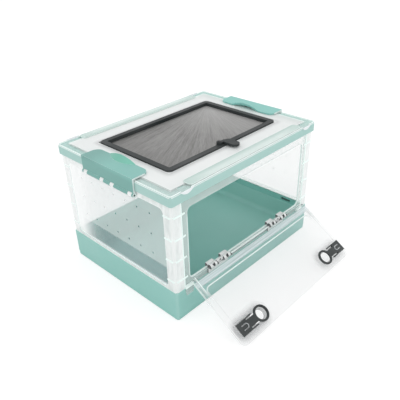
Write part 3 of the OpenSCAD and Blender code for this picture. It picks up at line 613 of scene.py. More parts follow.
def hinge_end_shade(m):
    # Painted shade on the hinges' shadowed end faces
    opaque(m, (0.060, 0.066, 0.068), 0.5)


def side_pane(m):
    """The side panes: frosted above a line, blue-grey below it, white at the rail and far end,
    with painted light given off at the far end
    """
    _x, y, z = m.axes()
    above = m.step(z, TINT_LINE, 1.5 * MM)
    rail = m.step(z, RAIL_TOP, 3.25 * MM, 1.0, 0.0)
    far_end = m.remap(y, 0.040, 0.098)
    haze = m.most(m.most(m.remap(above, 0.0, 1.0, 0.34, 0.42), rail * 0.88), far_end * 0.86)
    tinted = m.blend(m.most(above, rail), colours().lower_pane, colours().frosted)
    m.shade(Alpha=frosted(m, m.blend(far_end, tinted, (0.97, 0.98, 0.98)), haze, 0.07, 11.0,
                          behind=0.3, bump=0.04))
    # Painted light given off at the far end
    m.painted_glow(m.blend(far_end, (0.0, 0.0, 0.0), (0.10, 0.10, 0.10)))


def back_pane(m):
    clear(m, darker(colours().clear, 0.30), 0.24, gloss=0.1, behind=0.9)


def clear_post(m):
    """The corner posts: long soft streaks, a painted highlight up the outer corner, and faint
    painted light given off
    """
    x, y, z = m.axes()
    drawn = m.noise(m.vector(x * 130.0, y * 130.0, z * 34.0), 1.0, 3.0, 0.6)
    # Painted highlight up the outer corner
    corner = m.use(corner_highlight, Half_Length=WALL_X, Half_Width=WALL_Y)
    pale = m.most(m.remap(drawn, 0.34, 0.66), corner["Mask"])
    haze = m.remap(z, 0.054, 0.072, 0.93, 1.0) * m.remap(pale, 0.0, 1.0, 0.80, 0.90)
    plastic = m.blend(pale, darker(colours().clear, 0.07), lighter(colours().clear, 0.25))
    m.shade(Alpha=frosted(m, plastic, haze, 0.14, 26.0, behind=0.4))
    # Faint painted light given off by the post
    m.painted_glow(darker(colours().clear, 0.97))


def clear_header(m):
    # Painted light given off: the header is made brighter than the shade under the rim's overhang
    # lets it be
    clear(m, colours().clear, 0.88, 0.10, cloud=26.0, gloss=0.1, painted_glow=0.11)


def clear_stile(m):
    """The front frame: half-clear stiles and sill, with a painted highlight round the doorway"""
    x, _y, z = m.axes()
    line = m.use(border_line, Across=x, Along=z - DOORWAY_Z, Half_Across=DOORWAY_HALF_X,
                 Half_Along=DOORWAY_HALF_Z, Corner=DOORWAY_ROUND, Width=1.1 * MM)
    # Painted highlight along the doorway's edge, fading out below the header
    bright = line["Line"] * m.remap(z, 0.170, 0.182, 1.0, 0.0)
    shown = frosted(m, m.blend(bright, colours().clear, colours().clear_edge_highlight),
                    m.remap(z, 0.0620, 0.0670, 0.34, 0.38), 0.12, 26.0)
    m.shade(Alpha=m.most(shown, bright * 0.95))


def clear_tab(m):
    clear(m, darker(colours().clear, 0.12), 0.30, 0.1, cloud=60.0)


def vent_side(m):
    """The rims of the vents: painted shade, dark low down near the door, and lost in the light
    elsewhere
    """
    x, y, z = m.axes()
    lost = y + 0.045 + (z - VENTS_TOP) * 1.2
    fade = m.remap(abs(x), 0.13, 0.15) * m.remap(lost, -0.014, 0.014)
    m.shade(Alpha=frosted(m, (0.28, 0.37, 0.38), m.remap(fade, 0.0, 1.0, 0.74, 0.10),
                          behind=0.4))


def clear_inner(m):
    clear(m, colours().clear, 0.10, 0.03, gloss=0.1)


def clear_edge_highlight(m):
    """The edges and ridges of the clear walls: a painted highlight, bright at the front and softer
    at the back, with faint painted light given off
    """
    _x, y, _z = m.axes()
    m.shade(Alpha=frosted(m, colours().clear_edge_highlight, m.remap(y, 0.02, 0.11, 0.88, 0.62), 0.06,
                          behind=0.5))
    m.painted_glow(darker(colours().clear_edge_highlight, 0.88))


def clear_door(m):
    """The door: nearly invisible, with a frosted and streaky strip along its hinges, painted
    highlight lines, and painted shadow in the gap by the sill and round the latches
    """
    x, y, z = m.axes()
    up = (y - DOOR_PIVOT.y) * DOOR_UP.y + (z - DOOR_PIVOT.z) * DOOR_UP.z
    flange = m.step(up, FLANGE_FOOT, 0.8 * MM) * m.step(up, FLANGE_TOP, 1.0 * MM, 1.0, 0.0)
    # Painted shadow in the gap between the sill and the door
    gap = m.step(up, FLANGE_FOOT - 0.5 * MM, 0.7 * MM, 1.0, 0.0)
    near = m.remap(up, 0.026, 0.042, 1.0, 0.06)
    streak = m.remap(m.noise(m.vector(x * 7.0, up * 420.0), 1.0, 3.0, 0.6), 0.35, 0.65)
    haze = flange * m.remap(streak, 0.0, 1.0, 0.34, 0.66) + 0.085
    recess = m.use(border_line, Across=x, Half_Across=RECESS_HALF_X, Along=up - RECESS_UP,
                   Half_Along=RECESS_HALF_UP, Corner=DOORWAY_ROUND, Width=1.2 * MM)
    side_line = m.remap(abs(abs(x) - DOOR_SIDE), 0.6 * MM, 1.3 * MM, 1.0, 0.0)
    side_fill = m.step(abs(x), DOOR_SIDE, 0.5 * MM) * near
    # Painted highlight lines along the recess and the door's sides
    line = m.most(recess["Line"], side_line) * (near * m.remap(x, 0.126, 0.132, 1.0, 0.35))
    # Painted shadow round the latches
    latch = m.use(border_line, Across=abs(x) - LATCH_X, Along=up - LATCH_UP,
                  Half_Across=0.031, Half_Along=0.012, Corner=0.011, Reach=0.012)
    halo = latch["Halo"] ** 1.6
    plain = m.blend(flange, (0.70, 0.70, 0.715), colours().flange)
    plain = m.blend(halo * 0.8, plain, (0.50, 0.51, 0.52))
    plain = m.blend(gap, plain, (0.38, 0.45, 0.45))
    shown = frosted(m, m.blend(line, plain, colours().clear_edge_highlight), haze, 0.02)
    shown = m.most(shown, line * 0.85) + halo * m.remap(x, -0.09, 0.09, 0.40, 0.20)
    shown = m.most(m.most(shown, side_fill * 0.28), gap * 0.07)
    m.shade(Alpha=m.maths("ADD", shown, sheen(m, 0.2, 3.0, 0.2), clamp=True))


def clear_guide(m):
    clear(m, colours().clear, 0.12, 0.03, gloss=0.15)


def clear_door_edge_highlight(m):
    """The door's edges: a painted highlight beside the sill, nearly lost against the light further
    out
    """
    x, y, z = m.axes()
    away = m.distance(y - DOOR_PIVOT.y, z - DOOR_PIVOT.z)
    haze = m.remap(away, 0.024, 0.052, 0.80, 0.13) * m.remap(x, 0.10, 0.14, 1.0, 0.45)
    plastic = m.blend(m.remap(away, 0.024, 0.052), colours().clear_edge_highlight, (0.84, 0.86, 0.86))
    m.shade(Alpha=frosted(m, plastic, haze, 0.06))


def clear_hinge(m):
    # A faint painted light given off by the hinge lugs
    clear(m, lighter(colours().clear, 0.3), 0.80, 0.2, cloud=140.0, painted_glow=0.05)


def milky_lid(m):
    """The lid: nearly white in the middle, and see-through over the green rim, with painted shade
    round the window frame and a painted highlight along the rim's inner edge
    """
    x, y, _z = m.axes()
    band = m.use(rim_band, Half_Length=RIM_HALF.x, Half_Width=RIM_HALF.y, Band=0.0138)
    shade = m.use(frame_shade, Half_Length=WINDOW_HALF.x, Half_Width=WINDOW_HALF.y)
    skin = moulded(m, colours().milky, lighter(colours().milky, 0.3), 0.34, grain=0.08)
    # Painted grey shade round the window frame
    tinted = m.blend(shade["Mask"] * 0.55, skin, (0.52, 0.52, 0.53))
    far_end = m.remap(x, 0.132, 0.160, 0.0, 0.5) * band["Mask"]
    tinted = m.blend(far_end, tinted, colours().strip)
    body = m.remap(x, 0.128, 0.150, 0.84, 0.62)
    over_rim = m.remap(y, -0.12, 0.10, 0.20, 0.06)
    cloud = m.noise(m.place(), 12.0, 3.0) * 0.06
    shown = body - band["Mask"] * (body - over_rim) + cloud
    # Painted highlight along the rim's inner edge
    m.shade(Base_Color=m.blend(band["Line"], tinted, lighter(colours().clear_edge_highlight, 0.3)),
            Alpha=m.most(shown, band["Line"] * 0.8))


def lid_edge_highlight(m):
    # Painted highlight and painted light given off along the lid's outer edge
    clear(m, lighter(colours().clear_edge_highlight, 0.3), 0.92, gloss=0.1, painted_glow=0.10)


def snap_tab(m):
    # A faint painted light given off by the snap tabs
    clear(m, (0.90, 0.94, 0.96), 0.88, 0.12, cloud=60.0, gloss=0.1, painted_glow=0.04)


def pale_strip(m):
    """The pale strips: greener along their inner side and at their round ends"""
    x, y, _z = m.axes()
    inner = m.remap(abs(y), 0.1120, 0.1215, 1.0, 0.0)
    green = m.most(m.remap(abs(x), 0.085, 0.129) * 0.7, inner)
    plastic = m.blend(green, lighter(colours().strip, 0.5), darker(colours().strip, 0.22))
    m.shade(Alpha=frosted(m, plastic, 0.78, 0.08, 18.0, bump=0.04))


def pale_strip_edge_highlight(m):
    # Painted highlight on the strips' rounded edges
    clear(m, lighter(colours().strip, 0.65), 0.92, gloss=0.1)


def woven_wire(m):
    """The window's wire: painted light and shade on its crowns, the streaks across it, painted
    shade away from its far right corner, and painted light at its right end
    """
    x, _y, _z = m.axes()
    wire = colours().wire
    weave = m.use(wire_weave, Pitch=sizes().weave_pitch, Open=0.42)
    fan = m.use(ray_streaks)
    # Painted light and shade on the crowns
    shade = weave["Crown"] * m.remap(fan["Streak"], 0.0, 1.0, 0.15, 1.0)
    base = m.blend(shade, darker(wire, 0.45), lighter(wire, 0.16))
    base = m.blend(fan["Streak"] * 0.55, base, lighter(wire, 0.26))
    # Painted light towards the right end
    base = m.blend(m.remap(x, 0.0, 0.11, 0.0, 0.45), base, lighter(wire, 0.45))
    # Painted shade away from the far right corner
    m.shade(Base_Color=m.blend(fan["Dim"] * 0.55, base, darker(wire, 0.45)),
            Alpha=weave["Mask"], Metallic=0.25, Roughness=0.45)
    m.bump(weave["Height"], 0.5, 0.3 * MM)


def pin_steel(m):
    steel = colours().steel
    skin = moulded(m, steel, lighter(steel, 0.08), 0.38, 0.3, 0.1, 0.03 * MM,
                   Drift_Scale=40.0, Grain_Scale=2400.0)
    m.shade(Base_Color=skin, Metallic=0.5)


FINISHES = {make.__name__: make for make in (
    tray_green, tray_inside, rim_green, rim_edge_highlight, clip_green, clip_edge_highlight, clip_lip, snap_pocket,
    black_frame, black_latch, latch_slot, side_pane, back_pane, clear_post, clear_header,
    clear_stile, clear_tab, clear_seated, vent_side, clear_inner, clear_edge_highlight, clear_door,
    clear_guide, clear_door_edge_highlight, clear_hinge, hinge_end_shade, milky_lid, lid_edge_highlight, snap_tab,
    pale_strip, pale_strip_edge_highlight, woven_wire, pin_steel)}


# ---------------------------------------------------------------- shape helpers

CORNER_STEPS = 8


def round_outline(half_x, half_y, radius, stations=()):
    """Points round a rectangle with round corners, anticlockwise, with extra y stations
    on the two short sides"""
    points = []
    for sx, sy, start in ((1, 1, 0), (-1, 1, 90), (-1, -1, 180), (1, -1, 270)):
        centre = Vector((sx * (half_x - radius), sy * (half_y - radius)))
        for k in range(CORNER_STEPS + 1):
            a = math.radians(start + 90 * k / CORNER_STEPS)
            points.append(centre + radius * Vector((math.cos(a), math.sin(a))))
        if (sx, sy) == (-1, 1):
            points += [Vector((-half_x, y)) for y in sorted(stations, reverse=True)]
        if (sx, sy) == (1, -1):
            points += [Vector((half_x, y)) for y in sorted(stations)]
    return points


def sweep_round(bm, profile, half, radius, closed, stations=()):
    """Carries a profile of (inset, height) points round a round-cornered rectangle. A point's
    third number, if it has one, is the corner radius there"""
    loops = []
    for inset, z, *own in profile:
        corner = max(own[0] if own else radius - inset, 0.4 * MM)
        outline = round_outline(half.x - inset, half.y - inset, corner, stations)
        loops.append([bm.verts.new((p.x, p.y, z)) for p in outline])
    pairs = list(zip(loops, loops[1:])) + ([(loops[-1], loops[0])] if closed else [])
    for low, high in pairs:
        for k, vert in enumerate(low):
            n = (k + 1) % len(low)
            bm.faces.new((vert, low[n], high[n], high[k]))
    return loops


def cut_across(bm, axis, at, faces):
    """Adds a straight cut through some faces, at one place along an axis"""
    geometry = dict.fromkeys(faces)
    for face in faces:
        geometry.update(dict.fromkeys((*face.edges, *face.verts)))
    point, normal = Vector(), Vector()
    point[axis], normal[axis] = at, 1.0
    bmesh.ops.bisect_plane(bm, geom=list(geometry), dist=0.0005 * MM, plane_co=point,
                           plane_no=normal)


def round_uprights(bm, half_x, half_y, radius):
    """Turns the square upright corners of a wall into rounds of even thickness"""
    reach, steps = 1.05 * radius, 5
    for sx in (-1, 1):
        for sy in (-1, 1):
            for k in range(1, steps + 1):
                for axis, sign, half in ((0, sx, half_x), (1, sy, half_y)):
                    near = [f for f in bm.faces if any(
                        sx * v.co.x > half_x - reach and sy * v.co.y > half_y - reach
                        for v in f.verts)]
                    if near:
                        cut_across(bm, axis, sign * (half - radius * k / steps), near)
    for vert in bm.verts:
        dx = abs(vert.co.x) - half_x + radius
        dy = abs(vert.co.y) - half_y + radius
        if dx > 0 and dy > 0:
            share = max(dx, dy) / math.hypot(dx, dy)
            vert.co.x = math.copysign(half_x - radius + dx * share, vert.co.x)
            vert.co.y = math.copysign(half_y - radius + dy * share, vert.co.y)


def softened(node, width, rounded_slot=1):
    """A copy of a node's solid with its sharp edges rounded; the rounding may have its own
    material slot"""
    bm = bmesh.new()
    bm.from_mesh(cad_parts[node].data)
    bmesh.ops.remove_doubles(bm, verts=bm.verts[:], dist=0.004 * MM)
    bmesh.ops.dissolve_limit(bm, angle_limit=math.radians(1.0), verts=bm.verts[:],
                             edges=bm.edges[:])
    for face in bm.faces:
        face.material_index = 0
    edges = [e for e in bm.edges
             if len(e.link_faces) == 2 and e.calc_face_angle(0.0) > math.radians(30.0)]
    bmesh.ops.bevel(bm, geom=edges, offset=width, offset_type="OFFSET", segments=2,
                    profile=0.5, affect="EDGES", clamp_overlap=True, material=rounded_slot)
    return bm


def sort_faces(bm, pick):
    """Gives each face the slot that a rule picks from its middle, normal and present slot"""
    bm.normal_update()
    for face in bm.faces:
        face.material_index = pick(face.calc_center_median(), face.normal, face.material_index)


def piece(name, bm, finishes, body, node):
    """Makes the object of one piece, which rides on a body and stands for its node"""
    bmesh.ops.recalc_face_normals(bm, faces=bm.faces[:])
    mesh = bpy.data.meshes.new(name)
    bm.to_mesh(mesh)
    bm.free()
    for entry in finishes:
        mesh.materials.append(finish(entry))
    mesh.polygons.foreach_set("use_smooth", [True] * len(mesh.polygons))
    mesh.set_sharp_from_angle(angle=math.radians(40.0))
    ob = bpy.data.objects.new(name, mesh)
    bpy.context.scene.collection.objects.link(ob)
    ob.modifiers.new("Even shading", "WEIGHTED_NORMAL").keep_sharp = True
    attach(ob, body)
    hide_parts(node)


def cover(name, node, width, finishes, body, pick=None):
    """A softened copy of a node; a rule may pick the finishes of its faces"""
    bm = softened(node, width, rounded_slot=min(1, len(finishes) - 1))
    if pick:
        sort_faces(bm, pick)
    piece(name, bm, finishes, body, node)


def dress(node, material):
    """Gives a node that keeps its own shape one of the finishes"""
    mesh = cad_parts[node].data
    mesh.materials.clear()
    mesh.materials.append(finish(material))


# ---------------------------------------------------------------- operators

class KEEPER_OT_stage(bpy.types.Operator):
    """Floor, light and camera"""
    bl_idname = "keeper.stage"
    bl_label = "Stage"

    def execute(self, context):
        self.floor()
        self.lights(context.scene)
        self.camera(context.scene)
        context.scene.view_settings.view_transform = "Standard"
        return {"FINISHED"}

    def floor(self):
        bm = bmesh.new()
        bmesh.ops.create_grid(bm, x_segments=8, y_segments=8, size=6.0)
        bmesh.ops.translate(bm, verts=bm.verts[:], vec=(0, 0, -0.2 * MM))
        mesh = bpy.data.meshes.new("floor")
        bm.to_mesh(mesh)
        bm.free()
        m = Finish("floor_paper")
        paper = m.use(moulded_surface, Colour=(0.86, 0.86, 0.86), Drift_Colour=(0.87, 0.87, 0.87),
                      Drift_Scale=0.8, Roughness=0.85, Roughness_Spread=0.05)
        seen = m.read("ShaderNodeLightPath", "Is Camera Ray")
        m.shade(Base_Color=m.blend(seen, paper["Colour"], (0.42, 0.42, 0.42)),
                Roughness=paper["Roughness"], Specular_IOR_Level=0.1,
                Emission_Color=(1.0, 1.0, 1.0), Emission_Strength=seen * FLOOR_GLOW)
        mesh.materials.append(m.material)
        ob = bpy.data.objects.new("floor", mesh)
        bpy.context.scene.collection.objects.link(ob)
        ob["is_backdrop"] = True

    def lights(self, scene):
        world = bpy.data.worlds.new("pale_studio")
        scene.world = world
        world.use_nodes = True
        t = Tree(world.node_tree)
        back = world.node_tree.nodes["Background"]
        seen, shiny, through = (t.read("ShaderNodeLightPath", f"Is {kind} Ray")
                                for kind in ("Camera", "Glossy", "Transmission"))
        t.put(back, "Color", (1.0, 1.0, 1.0))
        t.put(back, "Strength", t.remap(t.most(seen, t.most(shiny, through)), 0.0, 1.0, 0.90, 1.0))
        self.lamp("window_light", (-0.9, 0.5, 1.6), 1.4, 3.5)
        self.lamp("front_fill", (0.4, -1.7, 0.9), 1.2, 3.0)

    def lamp(self, name, at, size, power):
        """A square lamp that shines at the keeper's middle"""
        light = bpy.data.lights.new(name, "AREA")
        light.shape = "SQUARE"
        light.size = size
        light.energy = power
        ob = bpy.data.objects.new(name, light)
        bpy.context.scene.collection.objects.link(ob)
        ob.location = at
        towards = Vector((0.0, 0.0, 0.1)) - Vector(at)
        ob.rotation_euler = towards.to_track_quat("-Z", "Y").to_euler()

    def camera(self, scene):
        """Stands at the keeper's near left corner, a little above it, leaning a touch"""
        yaw, pitch, roll = CAMERA_YAW, CAMERA_PITCH, CAMERA_ROLL
        ahead = Vector((math.sin(yaw) * math.cos(pitch), math.cos(yaw) * math.cos(pitch),
                        -math.sin(pitch)))
        right = Vector((math.cos(yaw), -math.sin(yaw), 0.0))
        up = right.cross(ahead)
        lean_right = math.cos(roll) * right + math.sin(roll) * up
        lean_up = -math.sin(roll) * right + math.cos(roll) * up
        lens = bpy.data.cameras.new("camera")
        lens.sensor_fit = "HORIZONTAL"
        lens.sensor_width = CAMERA_SENSOR
        lens.lens = CAMERA_LENS
        lens.clip_start = 0.01
        lens.clip_end = 50.0
        ob = bpy.data.objects.new("camera", lens)
        scene.collection.objects.link(ob)
        turn = Matrix((lean_right, lean_up, -ahead)).transposed().to_4x4()
        ob.matrix_world = Matrix.Translation(CAMERA_AT) @ turn
        scene.camera = ob


class KEEPER_OT_tray(bpy.types.Operator):
    """Green tray with its foot, wall rebate, snap pockets and filleted floor"""
    bl_idname = "keeper.tray"
    bl_label = "Tray"

    def execute(self, context):
        top = TRAY_HIGH.z
        fillet = sizes().floor_fillet
        wall, shelf, floor, corner = 5.0 * MM, 41.0 * MM, 3.0 * MM, 3.0 * MM
        profile = [(9 * MM, 0.4 * MM), (8 * MM, 0.0), (2.4 * MM, 0.0),
                   (1.5 * MM, 0.3 * MM), (0.8 * MM, 1.1 * MM), (0.6 * MM, 2.0 * MM),
                   (0.6 * MM, 7.4 * MM), (0.5 * MM, 7.8 * MM), (0.1 * MM, 8.1 * MM),
                   (0.0, 8.5 * MM), (0.0, top - 1.3 * MM), (0.2 * MM, top - 0.5 * MM),
                   (0.7 * MM, top - 0.1 * MM), (1.1 * MM, top), (2.0 * MM, top),
                   (2.4 * MM, top - 0.2 * MM), (MOUTH_IN, top - 0.7 * MM),
                   (MOUTH_IN, POCKET_TOP), (MOUTH_IN, POCKET_FOOT), (MOUTH_IN, shelf),
                   (wall - 0.4 * MM, shelf, corner), (wall, shelf - 0.4 * MM, corner)]
        steps = 8
        for k in range(steps + 1):
            a = math.pi / 2 * k / steps
            inset = fillet * (1 - math.cos(a))
            profile.append((wall + inset, floor + fillet * (1 - math.sin(a)),
                            max(corner, 8 * MM - inset)))
        stations = (-POCKET_FAR, -POCKET_NEAR, POCKET_NEAR, POCKET_FAR)
        bm = bmesh.new()
        loops = sweep_round(bm, profile, TRAY_HALF, 4.5 * MM, False, stations)
        bm.faces.new(list(reversed(loops[0])))
        bm.faces.new(loops[-1])
        bmesh.ops.recalc_face_normals(bm, faces=bm.faces[:])
        sort_faces(bm, self.pick)
        self.snap_pockets(bm, TRAY_HALF.x - MOUTH_IN)
        piece("tray", bm, ("tray_green", "snap_pocket", "tray_inside"), "enclosure",
              "base_tray")
        return {"FINISHED"}

    def pick(self, c, n, slot):
        within = max(abs(c.x) - TRAY_HALF.x, abs(c.y) - TRAY_HALF.y) < -2.7 * MM
        return 2 if within and c.z > 2.0 * MM else 0

    def snap_pockets(self, bm, wall_x):
        """Sinks the pockets behind the snap windows of the two side walls, and gives them painted
        shade
        """
        for side in (-1, 1):
            pocket = []
            for face in bm.faces:
                c = face.calc_center_median()
                if (abs(c.x - side * wall_x) < 0.3 * MM and POCKET_FOOT < c.z < POCKET_TOP
                        and POCKET_NEAR < abs(c.y) < POCKET_FAR):
                    pocket.append(face)
            sunk = bmesh.ops.extrude_face_region(bm, geom=pocket)["geom"]
            moved = [g for g in sunk if isinstance(g, bmesh.types.BMVert)]
            bmesh.ops.translate(bm, verts=moved, vec=(side * POCKET_DEPTH, 0, 0))
            bmesh.ops.delete(bm, geom=pocket, context="FACES_ONLY")
            for g in sunk:
                if isinstance(g, bmesh.types.BMFace):
                    g.material_index = 1


class KEEPER_OT_rim(bpy.types.Operator):
    """Green rim with its outer band, flat top and inner lip"""
    bl_idname = "keeper.rim"
    bl_label = "Rim"

    def execute(self, context):
        low, top = RIM_LOW.z, RIM_HIGH.z
        under = top - 2.4 * MM
        lip = under - 7.0 * MM
        profile = [(0.5 * MM, low), (0.1 * MM, low + 0.2 * MM), (0.0, low + 0.7 * MM),
                   (0.0, top - 1.0 * MM), (0.35 * MM, top - 0.3 * MM), (1.1 * MM, top),
                   (17.5 * MM, top), (17.9 * MM, top - 0.2 * MM), (18.0 * MM, top - 0.7 * MM),
                   (18.0 * MM, under), (8.8 * MM, under), (8.8 * MM, lip + 0.3 * MM),
                   (8.5 * MM, lip), (7.5 * MM, lip), (7.2 * MM, lip + 0.3 * MM),
                   (7.2 * MM, under), (2.4 * MM, under), (2.4 * MM, low + 0.5 * MM),
                   (2.0 * MM, low)]
        bm = bmesh.new()
        sweep_round(bm, profile, RIM_HALF, 4.5 * MM, True)
        sort_faces(bm, self.pick)
        piece("rim", bm, ("rim_green", "rim_edge_highlight"), "enclosure", "top_rim")
        return {"FINISHED"}

    def pick(self, c, n, slot):
        outer = max(abs(c.x) - RIM_HALF.x, abs(c.y) - RIM_HALF.y) > -1.0 * MM
        # The outer top faces take the painted highlight
        return 1 if outer and c.z > RIM_HIGH.z - 1.0 * MM else 0


class KEEPER_OT_walls(bpy.types.Operator):
    """Four clear walls: frosted posts, ridges and rails, hazy panes and bright edges"""
    bl_idname = "keeper.walls"
    bl_label = "Walls"

    PANE, EDGE, INNER, POST, TAB, VENT, SEATED = range(7)
    # How far the rows of vents reach along each kind of wall, from its middle
    VENTS_REACH = {"side": 0.10, "back": 0.13, "front": 0.0}

    def execute(self, context):
        self.wall("left_panel", "side", "side_pane", "clear_post", "clear_hinge")
        self.wall("right_panel", "side", "side_pane", "clear_post", "clear_hinge")
        self.wall("back_panel", "back", "back_pane", "clear_post", "clear_post")
        self.wall("front_frame", "front", "clear_stile", "clear_header", "clear_tab")
        return {"FINISHED"}

    def wall(self, node, kind, pane, post, tab):
        """One wall, cut where its finishes change, with round corners on the side walls"""
        bm = softened(node, sizes().plastic_round)
        if kind == "front":
            for side in (-1, 1):
                cut_across(bm, 0, side * FRONT_SEAM, bm.faces[:])
            cut_across(bm, 2, WALL_FOOT, bm.faces[:])
        else:
            cut_across(bm, 2, TRAY_HIGH.z, bm.faces[:])
        if kind == "side":
            round_uprights(bm, WALL_X, WALL_Y, sizes().post_round)
        sort_faces(bm, lambda c, n, slot: self.pick(kind, c, n, slot))
        finishes = (pane, "clear_edge_highlight", "clear_inner", post, tab, "vent_side", "clear_seated")
        piece(node + "_wall", bm, finishes, "enclosure", node)

    def pick(self, kind, c, n, slot):
        """The slot of a face, by how far it stands out from the walls' outer side (depth) and
        how much it faces outward (towards)"""
        over_x, over_y = abs(c.x) - WALL_X, abs(c.y) - WALL_Y
        depth = max(over_x, over_y)
        towards = n.x * math.copysign(1, c.x) if over_x > over_y else n.y * math.copysign(1, c.y)
        corner = min(over_x, over_y) > -sizes().post_round and n.x * c.x + n.y * c.y > 0
        along = abs(c.y) if kind == "side" else abs(c.x)
        in_vents = along < self.VENTS_REACH[kind] and VENTS_FOOT < c.z < HEADER_FOOT
        if c.z < TRAY_HIGH.z and depth < 0.1 * MM:
            return self.SEATED
        if corner and abs(n.z) < 0.4 and depth < 0.4 * MM:
            return self.POST
        if in_vents and abs(depth + PANE_MIDDLE) < 0.6 * MM and abs(towards) < 0.5:
            return self.VENT
        if slot == self.EDGE:
            return self.EDGE
        if kind == "side" and over_x > 1.3 * MM:
            return self.TAB
        if kind == "front" and c.z < WALL_FOOT:
            return self.TAB if abs(n.z) < 0.5 else self.EDGE
        if abs(n.z) > 0.5 or depth > 0.4 * MM:
            return self.EDGE
        if towards < -0.5:
            return self.INNER
        if depth > -WALL_THICK and towards > 0.4:
            return self.outer_slot(kind, c, depth)
        return self.EDGE

    def outer_slot(self, kind, c, depth):
        if kind != "front":
            return self.PANE if abs(depth + PANE_IN) < 0.3 * MM else self.POST
        if abs(c.x) > FRONT_SEAM:
            return self.EDGE
        return self.POST if c.z > HEADER_FOOT else self.PANE


class KEEPER_OT_lid(bpy.types.Operator):
    """Milky lid with its well and snap tabs, and the pale strips on it"""
    bl_idname = "keeper.lid"
    bl_label = "Lid"

    def execute(self, context):
        cover("lid", "lid_plate", sizes().plastic_round, ("milky_lid", "lid_edge_highlight", "snap_tab"),
              "lid", self.pick)
        for node in ("lid_front_strip", "lid_back_strip"):
            cover(node + "_bar", node, sizes().plastic_round, ("pale_strip", "pale_strip_edge_highlight"),
                  "lid")
        return {"FINISHED"}

    def pick(self, c, n, slot):
        outside = max(abs(c.x) - RIM_HALF.x, abs(c.y) - RIM_HALF.y)
        # Slot 1 is the lid's painted edge highlight
        if outside > 0.1 * MM:
            return 1 if slot == 1 else 2
        if outside < -3.0 * MM:
            return 0
        return 1 if abs(n.z) < 0.5 and outside > -3.0 * MM else slot


class KEEPER_OT_window(bpy.types.Operator):
    """Black window frame with its woven wire, catch and pins"""
    bl_idname = "keeper.window"
    bl_label = "Mesh window"

    def execute(self, context):
        width = sizes().frame_round
        cover("window_bars", "window_frame", width, ("black_frame",), "window")
        cover("catch", "window_catch", width * 0.8, ("black_frame",), "catch")
        dress("window_mesh", "woven_wire")
        dress("window_pins", "pin_steel")
        dress("catch_pin", "pin_steel")
        return {"FINISHED"}


class KEEPER_OT_clips(bpy.types.Operator):
    """Green side clips with arched finger lips, on their dark rods"""
    bl_idname = "keeper.clips"
    bl_label = "Side clips"

    def execute(self, context):
        for side in ("left", "right"):
            cover(side + "_clip_cover", side + "_clip", sizes().clip_round,
                  ("clip_green", "clip_edge_highlight", "clip_lip"), "clip_" + side,
                  self.pick)
            dress(side + "_clip_pin", "pin_steel")
        return {"FINISHED"}

    def pick(self, c, n, slot):
        on_lip = abs(c.x) < LIP_X and abs(c.y) < LIP_Y and c.z > LIP_FOOT
        if on_lip and slot == 0 and n.z > 0.3:
            return 2
        # The rounded edges and end faces take the painted highlight
        return 1 if abs(c.y) > CLIP_END and abs(n.y) > 0.5 else slot


class KEEPER_OT_door(bpy.types.Operator):
    """Clear drop-down door with its bright borders, and the guides of its latches"""
    bl_idname = "keeper.door"
    bl_label = "Door"

    def execute(self, context):
        cover("door", "door_panel", sizes().plastic_round,
              ("clear_door", "clear_door_edge_highlight", "clear_hinge", "hinge_end_shade"), "door",
              self.pick)
        for side in ("left", "right"):
            cover(side + "_guide", side + "_latch_guide", sizes().guide_round,
                  ("clear_guide", "clear_door_edge_highlight"), "door")
        return {"FINISHED"}

    def pick(self, c, n, slot):
        if math.hypot(c.y - DOOR_PIVOT.y, c.z - DOOR_PIVOT.z) < KNUCKLE_RADIUS:
            # The knuckles' end faces take painted shade
            return 3 if abs(n.x) > 0.7 else 2
        return 1 if abs(n.dot(DOOR_NORMAL)) < 0.5 else slot


class KEEPER_OT_hinges(bpy.types.Operator):
    """Frosted hinge lugs and dark pins"""
    bl_idname = "keeper.hinges"
    bl_label = "Door hinges"

    def execute(self, context):
        for side in ("left", "right"):
            cover(side + "_hinge_lugs", side + "_hinge_bracket", sizes().small_round,
                  ("clear_hinge", "hinge_end_shade"), "enclosure", self.pick)
            dress(side + "_hinge_pin", "pin_steel")
        return {"FINISHED"}

    def pick(self, c, n, slot):
        # The lugs' end faces take painted shade
        return 1 if abs(n.x) > 0.7 and c.z > DOOR_PIVOT.z - 3.0 * MM else 0


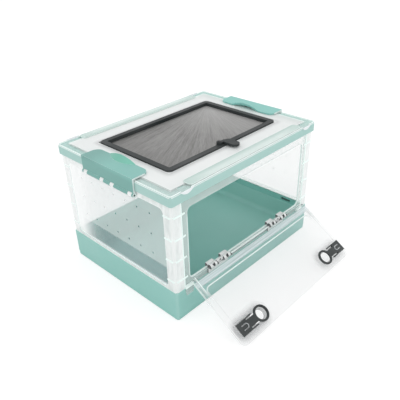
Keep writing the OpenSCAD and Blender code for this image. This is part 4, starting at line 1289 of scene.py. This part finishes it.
class KEEPER_OT_latches(bpy.types.Operator):
    """Black sliding latches with finger rings"""
    bl_idname = "keeper.latches"
    bl_label = "Ring latches"

    def execute(self, context):
        for side in ("left", "right"):
            cover(side + "_latch_slide", side + "_latch", sizes().small_round,
                  ("black_latch", "latch_slot"), "latch_" + side, self.pick)
        return {"FINISHED"}

    def pick(self, c, n, slot):
        """The sides of the pale slot beside each ring"""
        off_middle = abs((c - DOOR_PIVOT).dot(DOOR_UP) - LATCH_UP)
        in_slot = SLOT_NEAR < abs(c.x) < SLOT_FAR and off_middle < 4.4 * MM
        return 1 if in_slot and abs(n.dot(DOOR_NORMAL)) <= 0.6 else 0


OPERATORS = (
    KEEPER_OT_stage, KEEPER_OT_tray, KEEPER_OT_rim, KEEPER_OT_walls, KEEPER_OT_lid,
    KEEPER_OT_window, KEEPER_OT_clips, KEEPER_OT_door, KEEPER_OT_hinges, KEEPER_OT_latches,
)


class KEEPER_PT_looks(bpy.types.Panel):
    """Sizes, colours and steps of the keeper's looks"""
    bl_idname = "KEEPER_PT_looks"
    bl_label = "Pet Keeper"
    bl_space_type = "VIEW_3D"
    bl_region_type = "UI"
    bl_category = "Keeper"

    def draw(self, context):
        for group in (context.scene.keeper_sizes, context.scene.keeper_colours):
            box = self.layout.box()
            for name in group.__annotations__:
                box.prop(group, name)
        for operator in OPERATORS:
            self.layout.operator(operator.bl_idname)


CLASSES = (KeeperSizes, KeeperColours, *OPERATORS, KEEPER_PT_looks)


def register():
    for cls in CLASSES:
        bpy.utils.register_class(cls)
    bpy.types.Scene.keeper_sizes = PointerProperty(type=KeeperSizes)
    bpy.types.Scene.keeper_colours = PointerProperty(type=KeeperColours)


def unregister():
    del bpy.types.Scene.keeper_colours
    del bpy.types.Scene.keeper_sizes
    for cls in reversed(CLASSES):
        bpy.utils.unregister_class(cls)


def main():
    """Registers the add-on, makes every piece and works out the sizes before and after"""
    register()
    for operator in OPERATORS:
        group, name = operator.bl_idname.split(".")
        getattr(getattr(bpy.ops, group), name)()
    boxes = {"cad": cad_box, "visual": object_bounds()}
    {key: [list(corner) for corner in box] for key, box in boxes.items()}


if __name__ == "__main__":
    main()
